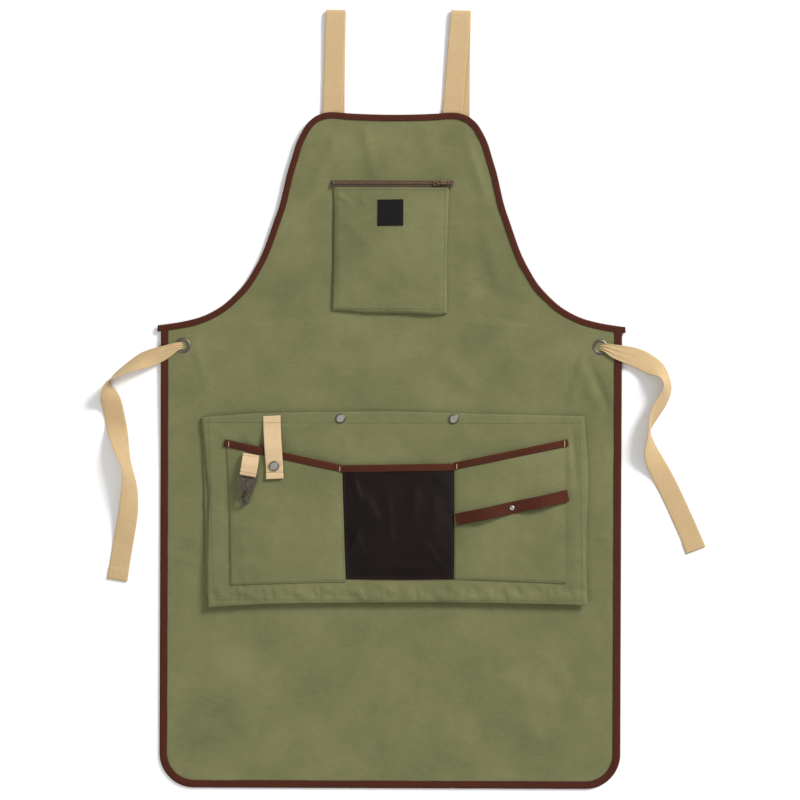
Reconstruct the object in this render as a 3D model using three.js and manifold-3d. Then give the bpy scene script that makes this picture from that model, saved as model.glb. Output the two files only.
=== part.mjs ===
// Gardening apron of cotton canvas, laid out flat on its back.
// Millimetres. X is the wearer's left seen from the front, Y runs from the hem to the bib, Z is up.
// The origin is on the surface under the middle of the hem's binding.
import * as THREE from "three";
import { mergeVertices } from "three/addons/utils/BufferGeometryUtils.js";
import Module from "manifold-3d";

const wasm = await Module();
wasm.setup();

// Driving dimensions
const gap = 0.3; // clearance between pieces that touch
const canvas = 1.2; // thickness of the canvas
const bodyWidth = 608;
const bodyHeight = 892;
const bibHeight = 282; // from the top edge down to the side corners
const topDip = 4; // how far the middle of the top edge sags
const hemRadius = 46; // rounded lower corners
const bindingWidth = 8.6;
const bindingWall = 0.9;
const bindingSlack = 0.4; // room between the canvas and each leg of the binding
const bindingProud = 4; // how far the armhole binding stands out past the side corners
const flatBand = 20; // edge of the canvas that no fold reaches
const strapRise = 2.2; // the canvas lies on the straps from above the pouch up
const bibRise = 2.2; // and on two layers of strap at the bib's top edge
const onFloor = 0.05; // the straps' lowest faces above the floor
const webbing = 1.6;
const webbingWidth = 26.4;
const strapSpread = 158; // between the middles of the two straps at the bib's top
const strapLoop = 137; // from the bib's top edge up to the fold
const strapSewn = 34; // stretch sewn behind the bib
const foldRadius = 2.4;
const tieDrop = 310; // from the eyelet down to the end of the tie
const eyeletInset = 29; // from the side edge to the eyelet's middle
const eyeletDrop = 27; // from the side corner down to the eyelet's middle
const eyeletHole = 12;
const eyeletOuter = 21;
const eyeletWall = 0.8;
const eyeletFlange = 1;
const chestWidth = 151;
const chestHeight = 164;
const chestTop = 100; // from the bib's top edge down to the pocket's top
const chestDepth = 8.6; // in the middle
const chestSide = 6.4; // height of its side walls
const chestMouth = 4.4; // height of its top edge
const zipLength = 161;
const zipWidth = 9.4;
const zipTape = 0.9;
const teethWidth = 3.4;
const teethHeight = 1.5;
const sliderLength = 9;
const sliderWidth = 7.6;
const sliderWall = 0.9;
const sliderFromEnd = 22; // from the zip's end to the slider's middle
const bridgeWidth = 1.6;
const bridgeRoom = 1.8; // opening under the bridge
const pullLength = 17;
const pullWidth = 5.4;
const pullBar = 1;
const labelWidth = 34;
const labelHeight = 35;
const labelDrop = 16; // from the pocket's top edge
const labelThick = 0.7;
const pouchWidth = 500;
const pouchHeight = 249;
const pouchTop = 400; // from the bib's top edge down to the pouch's top
const pouchShift = 3; // of its top, towards +X
const pouchLean = 6; // further shift of its bottom
const pouchTuck = 4; // how far the lower corners of the front lie inside the gusset
const pouchDepth = 9; // of the bellows at the bottom
const pouchMouth = 4.6; // between body and front at the top edge
const snapSpread = 149;
const snapShift = 8;
const snapInset = 6; // from the pouch's top edge
const snapCap = 12.4;
const snapRise = 2;
const snapPost = 4;
const pocketMargin = 28; // from each side of the pouch to its front pockets
const pocketShift = 9; // their middle, towards +X
const pocketFoot = 28; // from the pouch's bottom up to the pocket seams
const centrePocket = 147; // width of the dark pocket
const centreShift = 0.6; // of the dark pocket from the middle of the three
const pocketRise = 150; // from the seams up to the dark pocket's top edge
const sideRise = 184; // and to the outer ends of the other two
const pocketDepth = 8.2;
const pocketSeam = 1.7; // height of the pocket's edges above the pouch
const leather = 1.4;
const tapeWidth = 15.8;
const tapeThick = 1.6;
const tapeBow = 7.6;
const tapeFoot = 80; // height above the seams where the tape starts
const tapeClimb = 32; // and how much higher it ends
const rivetCap = 6.6;
const rivetPost = 2.6;
const tabWidth = 23;
const tabLength = 84;
const tabShift = 94; // from the pouch's left edge to the tab's middle
const tabSnapUp = 17; // from the tab's end to its snap
const tabSnapCap = 13;
const clipTurn = -10; // degrees, how the clip lies
const clipInset = 29.7; // from the left pocket's outer side to the clip's middle
const loopWidth = 21.5;
const loopThick = 1.2;
const loopLength = 26;
const clipWidth = 26;
const clipTip = 7.6; // radius of the clip's rounded end
const clipLength = 39; // from the loop's end to the tip
const clipThick = 1.6;
const clipSlot = 3.2;
const clipBar = 2;
const eyeTop = 18; // from the loop's end down to the eye
const eyeRadius = 3.4;
const gateWidth = 3;
const gateThick = 1.2;
const gatePost = 2.2;
const rivetHead = 4.2;
const headRise = 0.8;
const rivetDrop = 5.5; // from the loop's end to the clip's two rivets
const clipShoulder = 4; // from the loop's end to where the clip starts to taper
const loopBend = 1.6; // room inside the loop's bend
const gateSide = 1.6; // from the clip's narrow side to the middle of the gate
const gateRise = 3; // from the eye's top up to the gate's pin
const gateCut = 3; // the gap under the gate starts this far below the eye's top

const halfBody = bodyWidth / 2;
const pocketSpan = pouchWidth - 2 * pocketMargin; // the three front pockets together
const cornerY = bodyHeight - bibHeight;
const bindingThick = canvas + 2 * (bindingSlack + bindingWall);
const bindingFold = bindingWall + bindingSlack; // from the fold's outside to the canvas edge

const colours = {
  canvas: [0x7a7a54, 0.9, 0],
  binding: [0x5a2d1e, 0.75, 0],
  webbing: [0xd5be98, 0.85, 0],
  leather: [0x241919, 0.5, 0],
  label: [0x1e1a18, 0.8, 0],
  zip: [0x443827, 0.7, 0],
  metal: [0x5e584b, 0.35, 0.9],
  nickel: [0x9a958c, 0.3, 1],
};
const apron = new THREE.Group();
apron.position.y = -bindingWidth / 2;
const smooth = (t) => {
  const s = Math.min(1, Math.max(0, t));
  return s * s * (3 - 2 * s);
};
const mix = (a, b, t) => a + (b - a) * t;
const radians = THREE.MathUtils.degToRad;

function piece(name, geometry, slot) {
  const [color, roughness, metalness] = colours[slot];
  const material = new THREE.MeshStandardMaterial({ color, roughness, metalness });
  const mesh = new THREE.Mesh(geometry, material);
  mesh.name = name;
  apron.add(mesh);
  return mesh;
}

// A closed mesh from points and triangles, turned so that its faces point out.
function meshOf(points, faces) {
  let volume = 0;
  for (const f of faces) {
    const [a, b, c] = f.map((k) => new THREE.Vector3(...points[k]));
    volume += a.dot(b.cross(c));
  }
  const out = volume < 0 ? faces.map(([a, b, c]) => [a, c, b]) : faces;
  const g = new THREE.BufferGeometry();
  g.setAttribute("position", new THREE.Float32BufferAttribute(points.flat(), 3));
  g.setIndex(out.flat());
  return g;
}

function toSolid(geometry) {
  const bare = geometry.clone();
  bare.deleteAttribute("normal");
  bare.deleteAttribute("uv");
  const merged = mergeVertices(bare, 1e-4);
  const triVerts = new Uint32Array(merged.index.array);
  const vertProperties = merged.attributes.position.array;
  return new wasm.Manifold(new wasm.Mesh({ numProp: 3, vertProperties, triVerts }));
}

function toGeometry(solid) {
  const m = solid.getMesh();
  const g = new THREE.BufferGeometry();
  g.setAttribute("position", new THREE.BufferAttribute(new Float32Array(m.vertProperties), 3));
  g.setIndex(new THREE.BufferAttribute(new Uint32Array(m.triVerts), 1));
  return g;
}

function cylinder(radius, z0, z1, x, y, sides = 20) {
  const g = new THREE.CylinderGeometry(radius, radius, z1 - z0, sides);
  g.rotateX(Math.PI / 2);
  g.translate(x, y, (z0 + z1) / 2);
  return toSolid(g);
}

function box(x0, x1, y0, y1, z0, z1) {
  const g = new THREE.BoxGeometry(x1 - x0, y1 - y0, z1 - z0);
  g.translate((x0 + x1) / 2, (y0 + y1) / 2, (z0 + z1) / 2);
  return toSolid(g);
}

// A solid swept through rings of points that all follow one flat section, with flat ends.
function sweep(rings, section) {
  const n = section.length;
  const points = rings.flat();
  const outline = section.map(([a, b]) => new THREE.Vector2(a, b));
  const faces = [];
  for (let i = 0; i + 1 < rings.length; i++) {
    for (let k = 0; k < n; k++) {
      const a = i * n + k;
      const b = i * n + ((k + 1) % n);
      // Both faces of a ribbon are split along the same diagonal, so that they never cross in a twist.
      if (k < n / 2) faces.push([a, b, b + n], [a, b + n, a + n]);
      else faces.push([a, b, a + n], [b, b + n, a + n]);
    }
  }
  const last = (rings.length - 1) * n;
  for (const [a, b, c] of THREE.ShapeUtils.triangulateShape(outline, [])) {
    faces.push([a, c, b], [last + a, last + b, last + c]);
  }
  return meshOf(points, faces);
}

// A sheet solid over a grid: rows of [x, y] points, with a lower and an upper height function.
function gridSolid(rows, low, high) {
  const nv = rows.length;
  const nu = rows[0].length;
  const points = [];
  for (const height of [high, low]) {
    rows.forEach((row, j) =>
      row.forEach(([x, y], i) => points.push([x, y, height(x, y, i / (nu - 1), j / (nv - 1))])),
    );
  }
  const at = (side, j, i) => side * nu * nv + j * nu + i;
  const faces = [];
  for (let j = 0; j + 1 < nv; j++) {
    for (let i = 0; i + 1 < nu; i++) {
      faces.push([at(0, j, i), at(0, j + 1, i), at(0, j + 1, i + 1)]);
      faces.push([at(0, j, i), at(0, j + 1, i + 1), at(0, j, i + 1)]);
      faces.push([at(1, j, i), at(1, j + 1, i + 1), at(1, j + 1, i)]);
      faces.push([at(1, j, i), at(1, j, i + 1), at(1, j + 1, i + 1)]);
    }
  }
  const rim = [];
  for (let i = 0; i < nu - 1; i++) rim.push([0, i]);
  for (let j = 0; j < nv - 1; j++) rim.push([j, nu - 1]);
  for (let i = nu - 1; i > 0; i--) rim.push([nv - 1, i]);
  for (let j = nv - 1; j > 0; j--) rim.push([j, 0]);
  rim.forEach(([j, i], k) => {
    const [q, p] = rim[(k + 1) % rim.length];
    faces.push([at(0, j, i), at(0, q, p), at(1, q, p)]);
    faces.push([at(0, j, i), at(1, q, p), at(1, j, i)]);
  });
  return meshOf(points, faces);
}

// Rows of a four-sided patch: from the top edge (left to right) down to the bottom edge.
function patch(topLeft, topRight, bottomLeft, bottomRight, nu, nv) {
  const rows = [];
  for (let j = 0; j <= nv; j++) {
    const row = [];
    for (let i = 0; i <= nu; i++) {
      const u = i / nu;
      const v = j / nv;
      row.push(
        [0, 1].map((k) =>
          mix(mix(topLeft[k], topRight[k], u), mix(bottomLeft[k], bottomRight[k], u), v),
        ),
      );
    }
    rows.push(row);
  }
  return rows;
}

// The outline from the top edge down the wearer's left side to the hem.
// drop: share of the bib's height, half: share of half the body's width
const bibTable = [
  { drop: 0, half: 0.295 },
  { drop: 0.028, half: 0.34 },
  { drop: 0.066, half: 0.375 },
  { drop: 0.14, half: 0.412 },
  { drop: 0.215, half: 0.434 },
  { drop: 0.29, half: 0.455 },
  { drop: 0.365, half: 0.471 },
  { drop: 0.44, half: 0.488 },
  { drop: 0.515, half: 0.512 },
  { drop: 0.59, half: 0.536 },
  { drop: 0.664, half: 0.562 },
  { drop: 0.738, half: 0.597 },
  { drop: 0.813, half: 0.642 },
  { drop: 0.888, half: 0.71 },
  { drop: 0.93, half: 0.765 },
  { drop: 0.963, half: 0.83 },
  { drop: 0.985, half: 0.91 },
  { drop: 1, half: 1 },
];
const skirtDrops = [0.018, 0.045, 0.085, 0.15, 0.24, 0.34, 0.44, 0.54, 0.64, 0.74, 0.84, 0.93];
const cornerSteps = 6;
const bibSide = bibTable.map(({ drop, half }) => [half * halfBody, bodyHeight - drop * bibHeight]);
const skirtSide = skirtDrops.map((s) => [halfBody, mix(cornerY, hemRadius, s)]);
for (let i = 0; i <= cornerSteps; i++) {
  const angle = (i / cornerSteps) * (Math.PI / 2);
  const reach = hemRadius * (1 - Math.cos(angle));
  skirtSide.push([halfBody - reach, hemRadius * (1 - Math.sin(angle))]);
}
const outline = [...bibSide, ...skirtSide];
const topEdgeY = (x) => bodyHeight - topDip * (1 - (x / bibSide[0][0]) ** 2);

// Unit normals that point into the apron, lengthened at a bend so that offsets stay parallel.
function inwards(points, before, after) {
  const all = [before, ...points, after];
  return points.map((p, i) => {
    const turn = [all[i], all[i + 2]].map((q, k) => {
      const d = k ? [q[0] - p[0], q[1] - p[1]] : [p[0] - q[0], p[1] - q[1]];
      const l = Math.hypot(...d);
      return [d[1] / l, -d[0] / l];
    });
    const sum = [turn[0][0] + turn[1][0], turn[0][1] + turn[1][1]];
    const l = Math.hypot(...sum);
    const stretch = 1 / Math.max(0.6, l / 2);
    return [(sum[0] / l) * stretch, (sum[1] / l) * stretch];
  });
}
const beforeTop = [outline[0][0] - 1, bodyHeight];
const afterHem = [outline[outline.length - 1][0] - 1, 0];
const normals = inwards(outline, beforeTop, afterHem);
const offset = (i, d) => [outline[i][0] + normals[i][0] * d, outline[i][1] + normals[i][1] * d];

// Distance from a point to the outline.
const rim = [[0, bodyHeight - topDip], ...outline, [0, 0]];
function toRim(x, y) {
  let best = Infinity;
  for (let i = 0; i + 1 < rim.length; i++) {
    const [ax, ay] = rim[i];
    const [dx, dy] = [rim[i + 1][0] - ax, rim[i + 1][1] - ay];
    const t = ((Math.abs(x) - ax) * dx + (y - ay) * dy) / (dx * dx + dy * dy);
    const s = Math.min(1, Math.max(0, t));
    best = Math.min(best, Math.hypot(Math.abs(x) - ax - s * dx, y - ay - s * dy));
  }
  return best;
}

// Soft folds in the canvas. x: share of half the width, y, length, spread: shares of the height,
// rise: millimetres, turn: degrees from the Y axis
const folds = [
  { x: -0.62, y: 0.12, length: 0.08, spread: 0.035, rise: 3.4, turn: 8 },
  { x: 0.12, y: 0.11, length: 0.075, spread: 0.04, rise: 2.6, turn: -10 },
  { x: 0.66, y: 0.125, length: 0.075, spread: 0.035, rise: 3, turn: 12 },
  { x: 0, y: 0.62, length: 0.028, spread: 0.16, rise: 1.6, turn: 0 },
  { x: 0.44, y: 0.72, length: 0.06, spread: 0.022, rise: 1.8, turn: 24 },
  { x: -0.44, y: 0.72, length: 0.06, spread: 0.022, rise: 1.8, turn: -20 },
];
function foldRise(x, y) {
  let rise = 0;
  for (const f of folds) {
    const [dx, dy] = [x - f.x * halfBody, y - f.y * bodyHeight];
    const c = Math.cos(radians(f.turn));
    const s = Math.sin(radians(f.turn));
    const along = (dx * s + dy * c) / (f.length * bodyHeight);
    const across = (dx * c - dy * s) / (f.spread * bodyHeight);
    rise += f.rise * Math.exp(-along * along - across * across);
  }
  return rise;
}

// Height of the canvas's middle surface: on the floor at the hem, on the straps behind the bib.
const eyeletX = halfBody - eyeletInset;
const eyeletY = cornerY - eyeletDrop;
function rimLevel(y) {
  const onStraps = smooth((y - eyeletY + 0.55 * tieDrop) / (0.45 * tieDrop));
  const onBoth = smooth((y - cornerY) / bibHeight);
  return bindingThick / 2 + strapRise * onStraps + bibRise * onBoth;
}
function level(x, y) {
  const free = smooth((toRim(x, y) - flatBand) / flatBand);
  return rimLevel(y) + free * foldRise(x, y);
}
const canvasTop = (x, y) => level(x, y) + canvas / 2;

// Body panel
const bandColumns = [0, bindingWidth + gap, flatBand, eyeletInset + eyeletOuter / 2 + 2];
const innerShares = [0.75, 0.5, 0.25];
function bodyRow(i) {
  const [half, y] = offset(i, bindingFold);
  const last = half - bandColumns[bandColumns.length - 1];
  const right = [...bandColumns.map((d) => half - d), ...innerShares.map((s) => s * last)];
  const xs = [...right.map((x) => -x), 0, ...right.reverse()];
  const sag = (x) => Math.max(0, 1 - (bodyHeight - y) / (4 * hemRadius)) * (topEdgeY(x) - bodyHeight);
  return xs.map((x) => [x, y + (Math.abs(x) < outline[0][0] ? sag(x) : 0)]);
}
const barrel = eyeletHole / 2 + eyeletWall;
let body = toSolid(
  gridSolid(
    outline.map((_, i) => bodyRow(i)),
    (x, y) => level(x, y) - canvas / 2,
    canvasTop,
  ),
);
for (const side of [-1, 1]) {
  body = body.subtract(cylinder(barrel + gap, -50, 50, side * eyeletX, eyeletY));
}
piece("body_panel", toGeometry(body), "canvas");

// Binding folded over an edge: a U in section, open towards the canvas.
const bindingSection = [
  [0, -1],
  [bindingWidth, -1],
  [bindingWidth, -1 + (2 * bindingWall) / bindingThick],
  [bindingWall, -1 + (2 * bindingWall) / bindingThick],
  [bindingWall, 1 - (2 * bindingWall) / bindingThick],
  [bindingWidth, 1 - (2 * bindingWall) / bindingThick],
  [bindingWidth, 1],
  [0, 1],
];
function binding(name, points, inward) {
  const rings = points.map(([x, y], i) =>
    bindingSection.map(([d, h]) => {
      const at = [x + inward[i][0] * d, y + inward[i][1] * d];
      return [...at, rimLevel(at[1]) + (h * bindingThick) / 2];
    }),
  );
  piece(name, sweep(rings, bindingSection), "binding");
}
const mirror = ([x, y]) => [-x, y];
const bibEnd = bibSide.length - 1;
const proud = [halfBody + bindingProud, cornerY];
const topShares = [-0.75, -0.5, -0.25, 0, 0.25, 0.5, 0.75];
const topRun = topShares.map((s) => [s * outline[0][0], topEdgeY(s * outline[0][0])]);
const right = [...bibSide.slice(0, bibEnd + 1), proud];
const bibRun = [...right.map(mirror).reverse(), ...topRun, ...right];
const endDown = (side) => [side * (halfBody + 2 * bindingProud), cornerY];
binding("binding_bib", bibRun, inwards(bibRun, endDown(-1), endDown(1)));
const hemStart = [halfBody, cornerY - bindingWidth - gap];
const hemSide = [hemStart, ...skirtSide.filter(([, y]) => y < hemStart[1] - 1)];
const hemShares = [0.75, 0.5, 0.25, 0, -0.25, -0.5, -0.75];
const hemRun = [
  ...hemSide,
  ...hemShares.map((s) => [s * (halfBody - hemRadius), 0]),
  ...hemSide.map(mirror).reverse(),
];
binding("binding_hem", hemRun, inwards(hemRun, [halfBody, cornerY], [-halfBody, cornerY]));

// Eyelets: a barrel through the canvas with a flange on each face.
const eyeletLevel = level(eyeletX, eyeletY);
function eyelet(name, side) {
  const reach = canvas / 2 + gap;
  const r = eyeletHole / 2;
  const profile = [
    [r, -reach - eyeletFlange],
    [eyeletOuter / 2, -reach - eyeletFlange * 0.6],
    [eyeletOuter / 2, -reach],
    [barrel, -reach],
    [barrel, reach],
    [eyeletOuter / 2, reach],
    [eyeletOuter / 2, reach + eyeletFlange * 0.4],
    [(barrel + eyeletOuter / 2) / 2, reach + eyeletFlange],
    [r, reach + eyeletFlange * 0.8],
    [r, -reach - eyeletFlange],
  ].map(([a, b]) => new THREE.Vector2(a, b));
  const g = new THREE.LatheGeometry(profile, 20);
  g.rotateX(Math.PI / 2);
  g.translate(side * eyeletX, eyeletY, eyeletLevel);
  piece(name, g, "nickel");
}
eyelet("eyelet_left", -1);
eyelet("eyelet_right", 1);

// A ribbon through stations {x, y, z, tilt, width, thick, side}. side is the plan angle, in degrees,
// of the width; tilt lifts that side of it. width and thick are shares of the ribbon's own.
function ribbonRings(stations, fullWidth, fullThick, parts, lowest = onFloor) {
  const keys = ["x", "y", "z", "tilt", "width", "thick", "side"];
  const fine = [];
  for (let i = 0; i + 1 < stations.length; i++) {
    const run = [-1, 0, 1, 2].map(
      (k) => stations[Math.min(stations.length - 1, Math.max(0, i + k))],
    );
    const cuts = stations[i].sharp ? 1 : parts;
    for (let c = 0; c < cuts; c++) {
      const t = c / cuts;
      const at = {};
      for (const key of keys) {
        const [a, b, d, e] = run.map((r) => r[key]);
        const slope = [(d - a) / 2, (e - b) / 2];
        const t2 = t * t;
        const t3 = t2 * t;
        at[key] =
          b * (2 * t3 - 3 * t2 + 1) + slope[0] * (t3 - 2 * t2 + t) +
          d * (3 * t2 - 2 * t3) + slope[1] * (t3 - t2);
      }
      fine.push(at);
    }
  }
  fine.push(stations[stations.length - 1]);
  return fine.map((f, i) => {
    const from = fine[Math.max(0, i - 1)];
    const to = fine[Math.min(fine.length - 1, i + 1)];
    const along = new THREE.Vector3(to.x - from.x, to.y - from.y, to.z - from.z).normalize();
    const [side, tilt] = [radians(f.side), radians(f.tilt)];
    const across = new THREE.Vector3(
      Math.cos(side) * Math.cos(tilt),
      Math.sin(side) * Math.cos(tilt),
      Math.sin(tilt),
    );
    across.addScaledVector(along, -across.dot(along)).normalize();
    const up = new THREE.Vector3().crossVectors(along, across);
    const w = (f.width * fullWidth) / 2;
    const h = (f.thick * fullThick) / 2;
    const corner = (a, b) => [
      f.x + across.x * a + up.x * b,
      f.y + across.y * a + up.y * b,
      f.z + across.z * a + up.z * b,
    ];
    const ring = [corner(-w, -h), corner(w, -h), corner(w, h), corner(-w, h)];
    const sunk = Math.max(0, lowest - Math.min(...ring.map((p) => p[2])));
    return ring.map(([x, y, z]) => [x, y, z + sunk]);
  });
}
const ribbonSection = [
  [-1, -1],
  [1, -1],
  [1, 1],
  [-1, 1],
];
const ribbon = (stations, fullWidth, fullThick, parts = 3) =>
  sweep(ribbonRings(stations, fullWidth, fullThick, parts), ribbonSection);

// Straps: sewn behind the bib, folded over above it, crossed behind to the far eyelet, out and down.
// lean, peek: millimetres that the fold and the rear layer lie off the sewn end, towards +X
// over: this strap crosses above the other one
const strapTable = [
  { name: "strap_left", side: -1, lean: 4, peek: 3, over: 0 },
  { name: "strap_right", side: 1, lean: 11, peek: 10, over: 1 },
];
// The bend behind the bib. on: place along the line to the eyelet, above: height over that line,
// both as shares of strapSewn. turnShare: how much of the turn is done
const bendTable = [
  { on: 0.06, above: 0.55, turnShare: 0.2 },
  { on: 0.35, above: 0.16, turnShare: 0.62 },
  { on: 0.95, above: 0, turnShare: 1 },
];
// The ties on the floor, measured from the eyelet. out, down: shares of tieDrop
// tilt: degrees that the webbing stands off the floor, turn: plan angle of its width
const tieTable = {
  strap_right: [
    { out: 0.2, down: 0.08, tilt: 34, width: 0.94, turn: -115 },
    { out: 0.288, down: 0.134, tilt: 58, width: 1, turn: -125 },
    { out: 0.316, down: 0.163, tilt: 78, width: 1, turn: -160 },
    { out: 0.318, down: 0.2, tilt: 52, width: 1, turn: -190 },
    { out: 0.301, down: 0.25, tilt: 12, width: 1, turn: -192 },
    { out: 0.282, down: 0.34, tilt: 0, width: 1, turn: -190 },
    { out: 0.257, down: 0.445, tilt: 44, width: 1, turn: -188 },
    { out: 0.233, down: 0.52, tilt: 66, width: 1, turn: -186 },
    { out: 0.224, down: 0.6, tilt: 46, width: 1, turn: -180 },
    { out: 0.229, down: 0.709, tilt: 20, width: 1, turn: -174 },
    { out: 0.253, down: 0.85, tilt: 0, width: 1, turn: -170 },
    { out: 0.277, down: 1, tilt: 0, width: 1, turn: -170 },
  ],
  strap_left: [
    { out: 0.16, down: 0.047, tilt: 4, width: 0.98, turn: -110 },
    { out: 0.225, down: 0.083, tilt: 24, width: 1, turn: -120 },
    { out: 0.27, down: 0.118, tilt: 62, width: 1, turn: -150 },
    { out: 0.286, down: 0.175, tilt: 58, width: 1, turn: -190 },
    { out: 0.259, down: 0.234, tilt: 48, width: 1, turn: -206 },
    { out: 0.221, down: 0.305, tilt: 62, width: 1, turn: -200 },
    { out: 0.207, down: 0.364, tilt: 80, width: 1, turn: -182 },
    { out: 0.216, down: 0.445, tilt: 34, width: 1, turn: -164 },
    { out: 0.252, down: 0.52, tilt: 4, width: 1, turn: -154 },
    { out: 0.296, down: 0.602, tilt: 0, width: 1, turn: -153 },
    { out: 0.377, down: 0.777, tilt: 0, width: 1, turn: -156 },
    { out: 0.412, down: 0.864, tilt: 0, width: 1, turn: -158 },
  ],
};
const flat = onFloor + webbing / 2;
for (const { name, side, lean, peek, over } of strapTable) {
  const x0 = (side * strapSpread) / 2;
  const xFold = x0 + lean;
  const xRear = x0 + peek;
  const sewnY = bodyHeight - strapSewn;
  const underBinding = rimLevel(bodyHeight) - bindingThick / 2 - gap - webbing / 2;
  const sewnZ = rimLevel(sewnY) - canvas / 2 - gap - webbing / 2;
  const foldZ = flat + foldRadius;
  const foldY = bodyHeight + strapLoop - foldRadius - webbing / 2;
  const level0 = { tilt: 0, width: 1, thick: 1, side: 180 };
  const stations = [
    { ...level0, x: x0, y: sewnY, z: sewnZ, sharp: 1 },
    { ...level0, x: x0, y: bodyHeight - 1.6 * bindingWidth, z: underBinding, sharp: 1 },
    { ...level0, x: mix(x0, xFold, 0.04), y: bodyHeight + gap, z: underBinding },
    { ...level0, x: mix(x0, xFold, 0.45), y: mix(bodyHeight, foldY, 0.45), z: underBinding + 0.6 },
    { ...level0, x: mix(x0, xFold, 0.9), y: mix(bodyHeight, foldY, 0.9), z: foldZ + foldRadius },
  ];
  for (const turn of [80, 40, 0, -40, -80]) {
    const [y, z] = [Math.cos(radians(turn)), Math.sin(radians(turn))].map((v) => v * foldRadius);
    stations.push({ ...level0, x: xFold, y: foldY + y, z: foldZ + z, sharp: 1 });
  }
  stations.push({ ...level0, x: mix(xFold, xRear, 0.3), y: mix(bodyHeight, foldY, 0.85), z: flat });
  stations.push({ ...level0, x: xRear, y: mix(bodyHeight, foldY, 0.4), z: flat });
  // Behind the bib it bends from straight down to the line to the far eyelet.
  const out = -side;
  const eyelet = [out * eyeletX, eyeletY];
  const bend = [xRear, bodyHeight - 2 * strapSewn];
  const run = [eyelet[0] - bend[0], eyelet[1] - bend[1]];
  const length = Math.hypot(...run);
  const way = [run[0] / length, run[1] / length];
  const diagonal = 270 + THREE.MathUtils.radToDeg(Math.atan2(way[1], way[0]));
  const turned = { tilt: 0, width: 1, thick: 1, side: diagonal };
  stations.push({ ...level0, x: xRear, y: bodyHeight - strapSewn / 2, z: flat });
  for (const { on, above, turnShare } of bendTable) {
    const [x, y] = way.map((w, axis) => bend[axis] + w * on * strapSewn);
    stations.push({ ...turned, x, y: y + above * strapSewn, z: flat, side: mix(180, diagonal, turnShare) });
  }
  for (const share of [0.2, 0.36, 0.52, 0.68, 0.84]) {
    const x = bend[0] + run[0] * share;
    const bump = over * Math.exp(-((x / (2 * webbingWidth)) ** 4));
    const z = flat + bump * (webbing + 2 * gap);
    stations.push({ ...turned, x, y: bend[1] + run[1] * share, z });
  }
  // Through the eyelet, gathered to its hole.
  const lower = eyeletLevel - canvas / 2 - gap - eyeletFlange;
  const upper = eyeletLevel + canvas / 2 + gap + eyeletFlange;
  const overEyelet = upper + gap + webbing / 2;
  const gathered = (0.74 * eyeletHole) / webbingWidth;
  const cross = out > 0 ? 270 : 90;
  const hole = (share, z, width, thick) => ({
    x: eyelet[0] + out * share * eyeletHole,
    y: eyelet[1],
    z,
    tilt: 0,
    width,
    thick,
    side: cross,
  });
  const before = (reach, width) => ({
    ...turned,
    x: eyelet[0] - way[0] * reach,
    y: eyelet[1] - way[1] * reach,
    z: flat,
    width,
  });
  stations.push({ ...before(eyeletOuter * 1.5, 0.9), sharp: 1 });
  stations.push({ ...before(eyeletOuter * 0.7, 0.55), sharp: 1, side: mix(diagonal, cross, 0.5) });
  stations.push({ ...hole(-0.4, flat, gathered, 0.9), sharp: 1 });
  stations.push({ ...hole(-0.12, mix(flat, lower, 0.9), gathered, 1.1), sharp: 1 });
  stations.push({ ...hole(-0.02, mix(lower, upper, 0.3), gathered, 1.2), sharp: 1 });
  stations.push({ ...hole(0.04, mix(lower, upper, 0.7), gathered, 1.2), sharp: 1 });
  stations.push({ ...hole(0.18, mix(upper, overEyelet, 0.6), gathered, 1.1), sharp: 1 });
  stations.push({ ...hole(0.5, overEyelet + gap, gathered * 1.15, 1), sharp: 1 });
  const overRim = rimLevel(eyeletY) + bindingThick / 2 + gap + webbing / 2;
  const outside = tieTable[name];
  const lie = (row) => {
    const tilt = radians(row.tilt);
    const rise = (row.width * webbingWidth * Math.sin(tilt) + webbing * Math.cos(tilt)) / 2;
    const fallen = (row.out * tieDrop - eyeletInset) / (0.14 * tieDrop);
    const hung = (1 - smooth(fallen)) * (overRim - webbing / 2);
    return {
      x: eyelet[0] + out * row.out * tieDrop,
      y: eyelet[1] - row.down * tieDrop,
      z: onFloor + rise + hung,
      tilt: out * row.tilt,
      width: row.width,
      thick: 1,
      side: row.turn + (out > 0 ? 380 : 180),
    };
  };
  const first = outside[0];
  const exit = (share, width) => ({
    x: eyelet[0] + out * first.out * tieDrop * share,
    y: eyelet[1] - first.down * tieDrop * share,
    z: overRim + gap,
    tilt: 0,
    width,
    thick: 1,
    side: out > 0 ? 270 : 80,
  });
  stations.push(exit(0.34, 0.66), exit(0.6, 0.82));
  stations.push(...outside.map(lie));
  piece(name, ribbon(stations, webbingWidth, webbing), "webbing");
}

// A shallow tray of cloth, upside down: a front sheet with walls on three sides, open at the top edge.
// rows: its grid, base and cover: lower and upper heights, wall: thickness
function tray(rows, inner, base, cover, wall, thick) {
  const outer = toSolid(gridSolid(rows, base, cover));
  const below = (x, y) => base(x, y) - 5 * wall;
  const hollow = toSolid(gridSolid(inner, below, (x, y) => cover(x, y) - thick));
  return outer.subtract(hollow);
}
// The same patch, drawn in by the wall on its sides and foot, and run out past its top edge.
function insidePatch([tl, tr, bl, br], wall, nu, nv) {
  const out = 2 * wall;
  return patch(
    [tl[0] + wall, tl[1] + out],
    [tr[0] - wall, tr[1] + out],
    [bl[0] + wall, bl[1] + wall],
    [br[0] - wall, br[1] + wall],
    nu,
    nv,
  );
}
const hump = (t) => Math.sin(Math.PI * Math.min(1, Math.max(0, t)));

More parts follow.
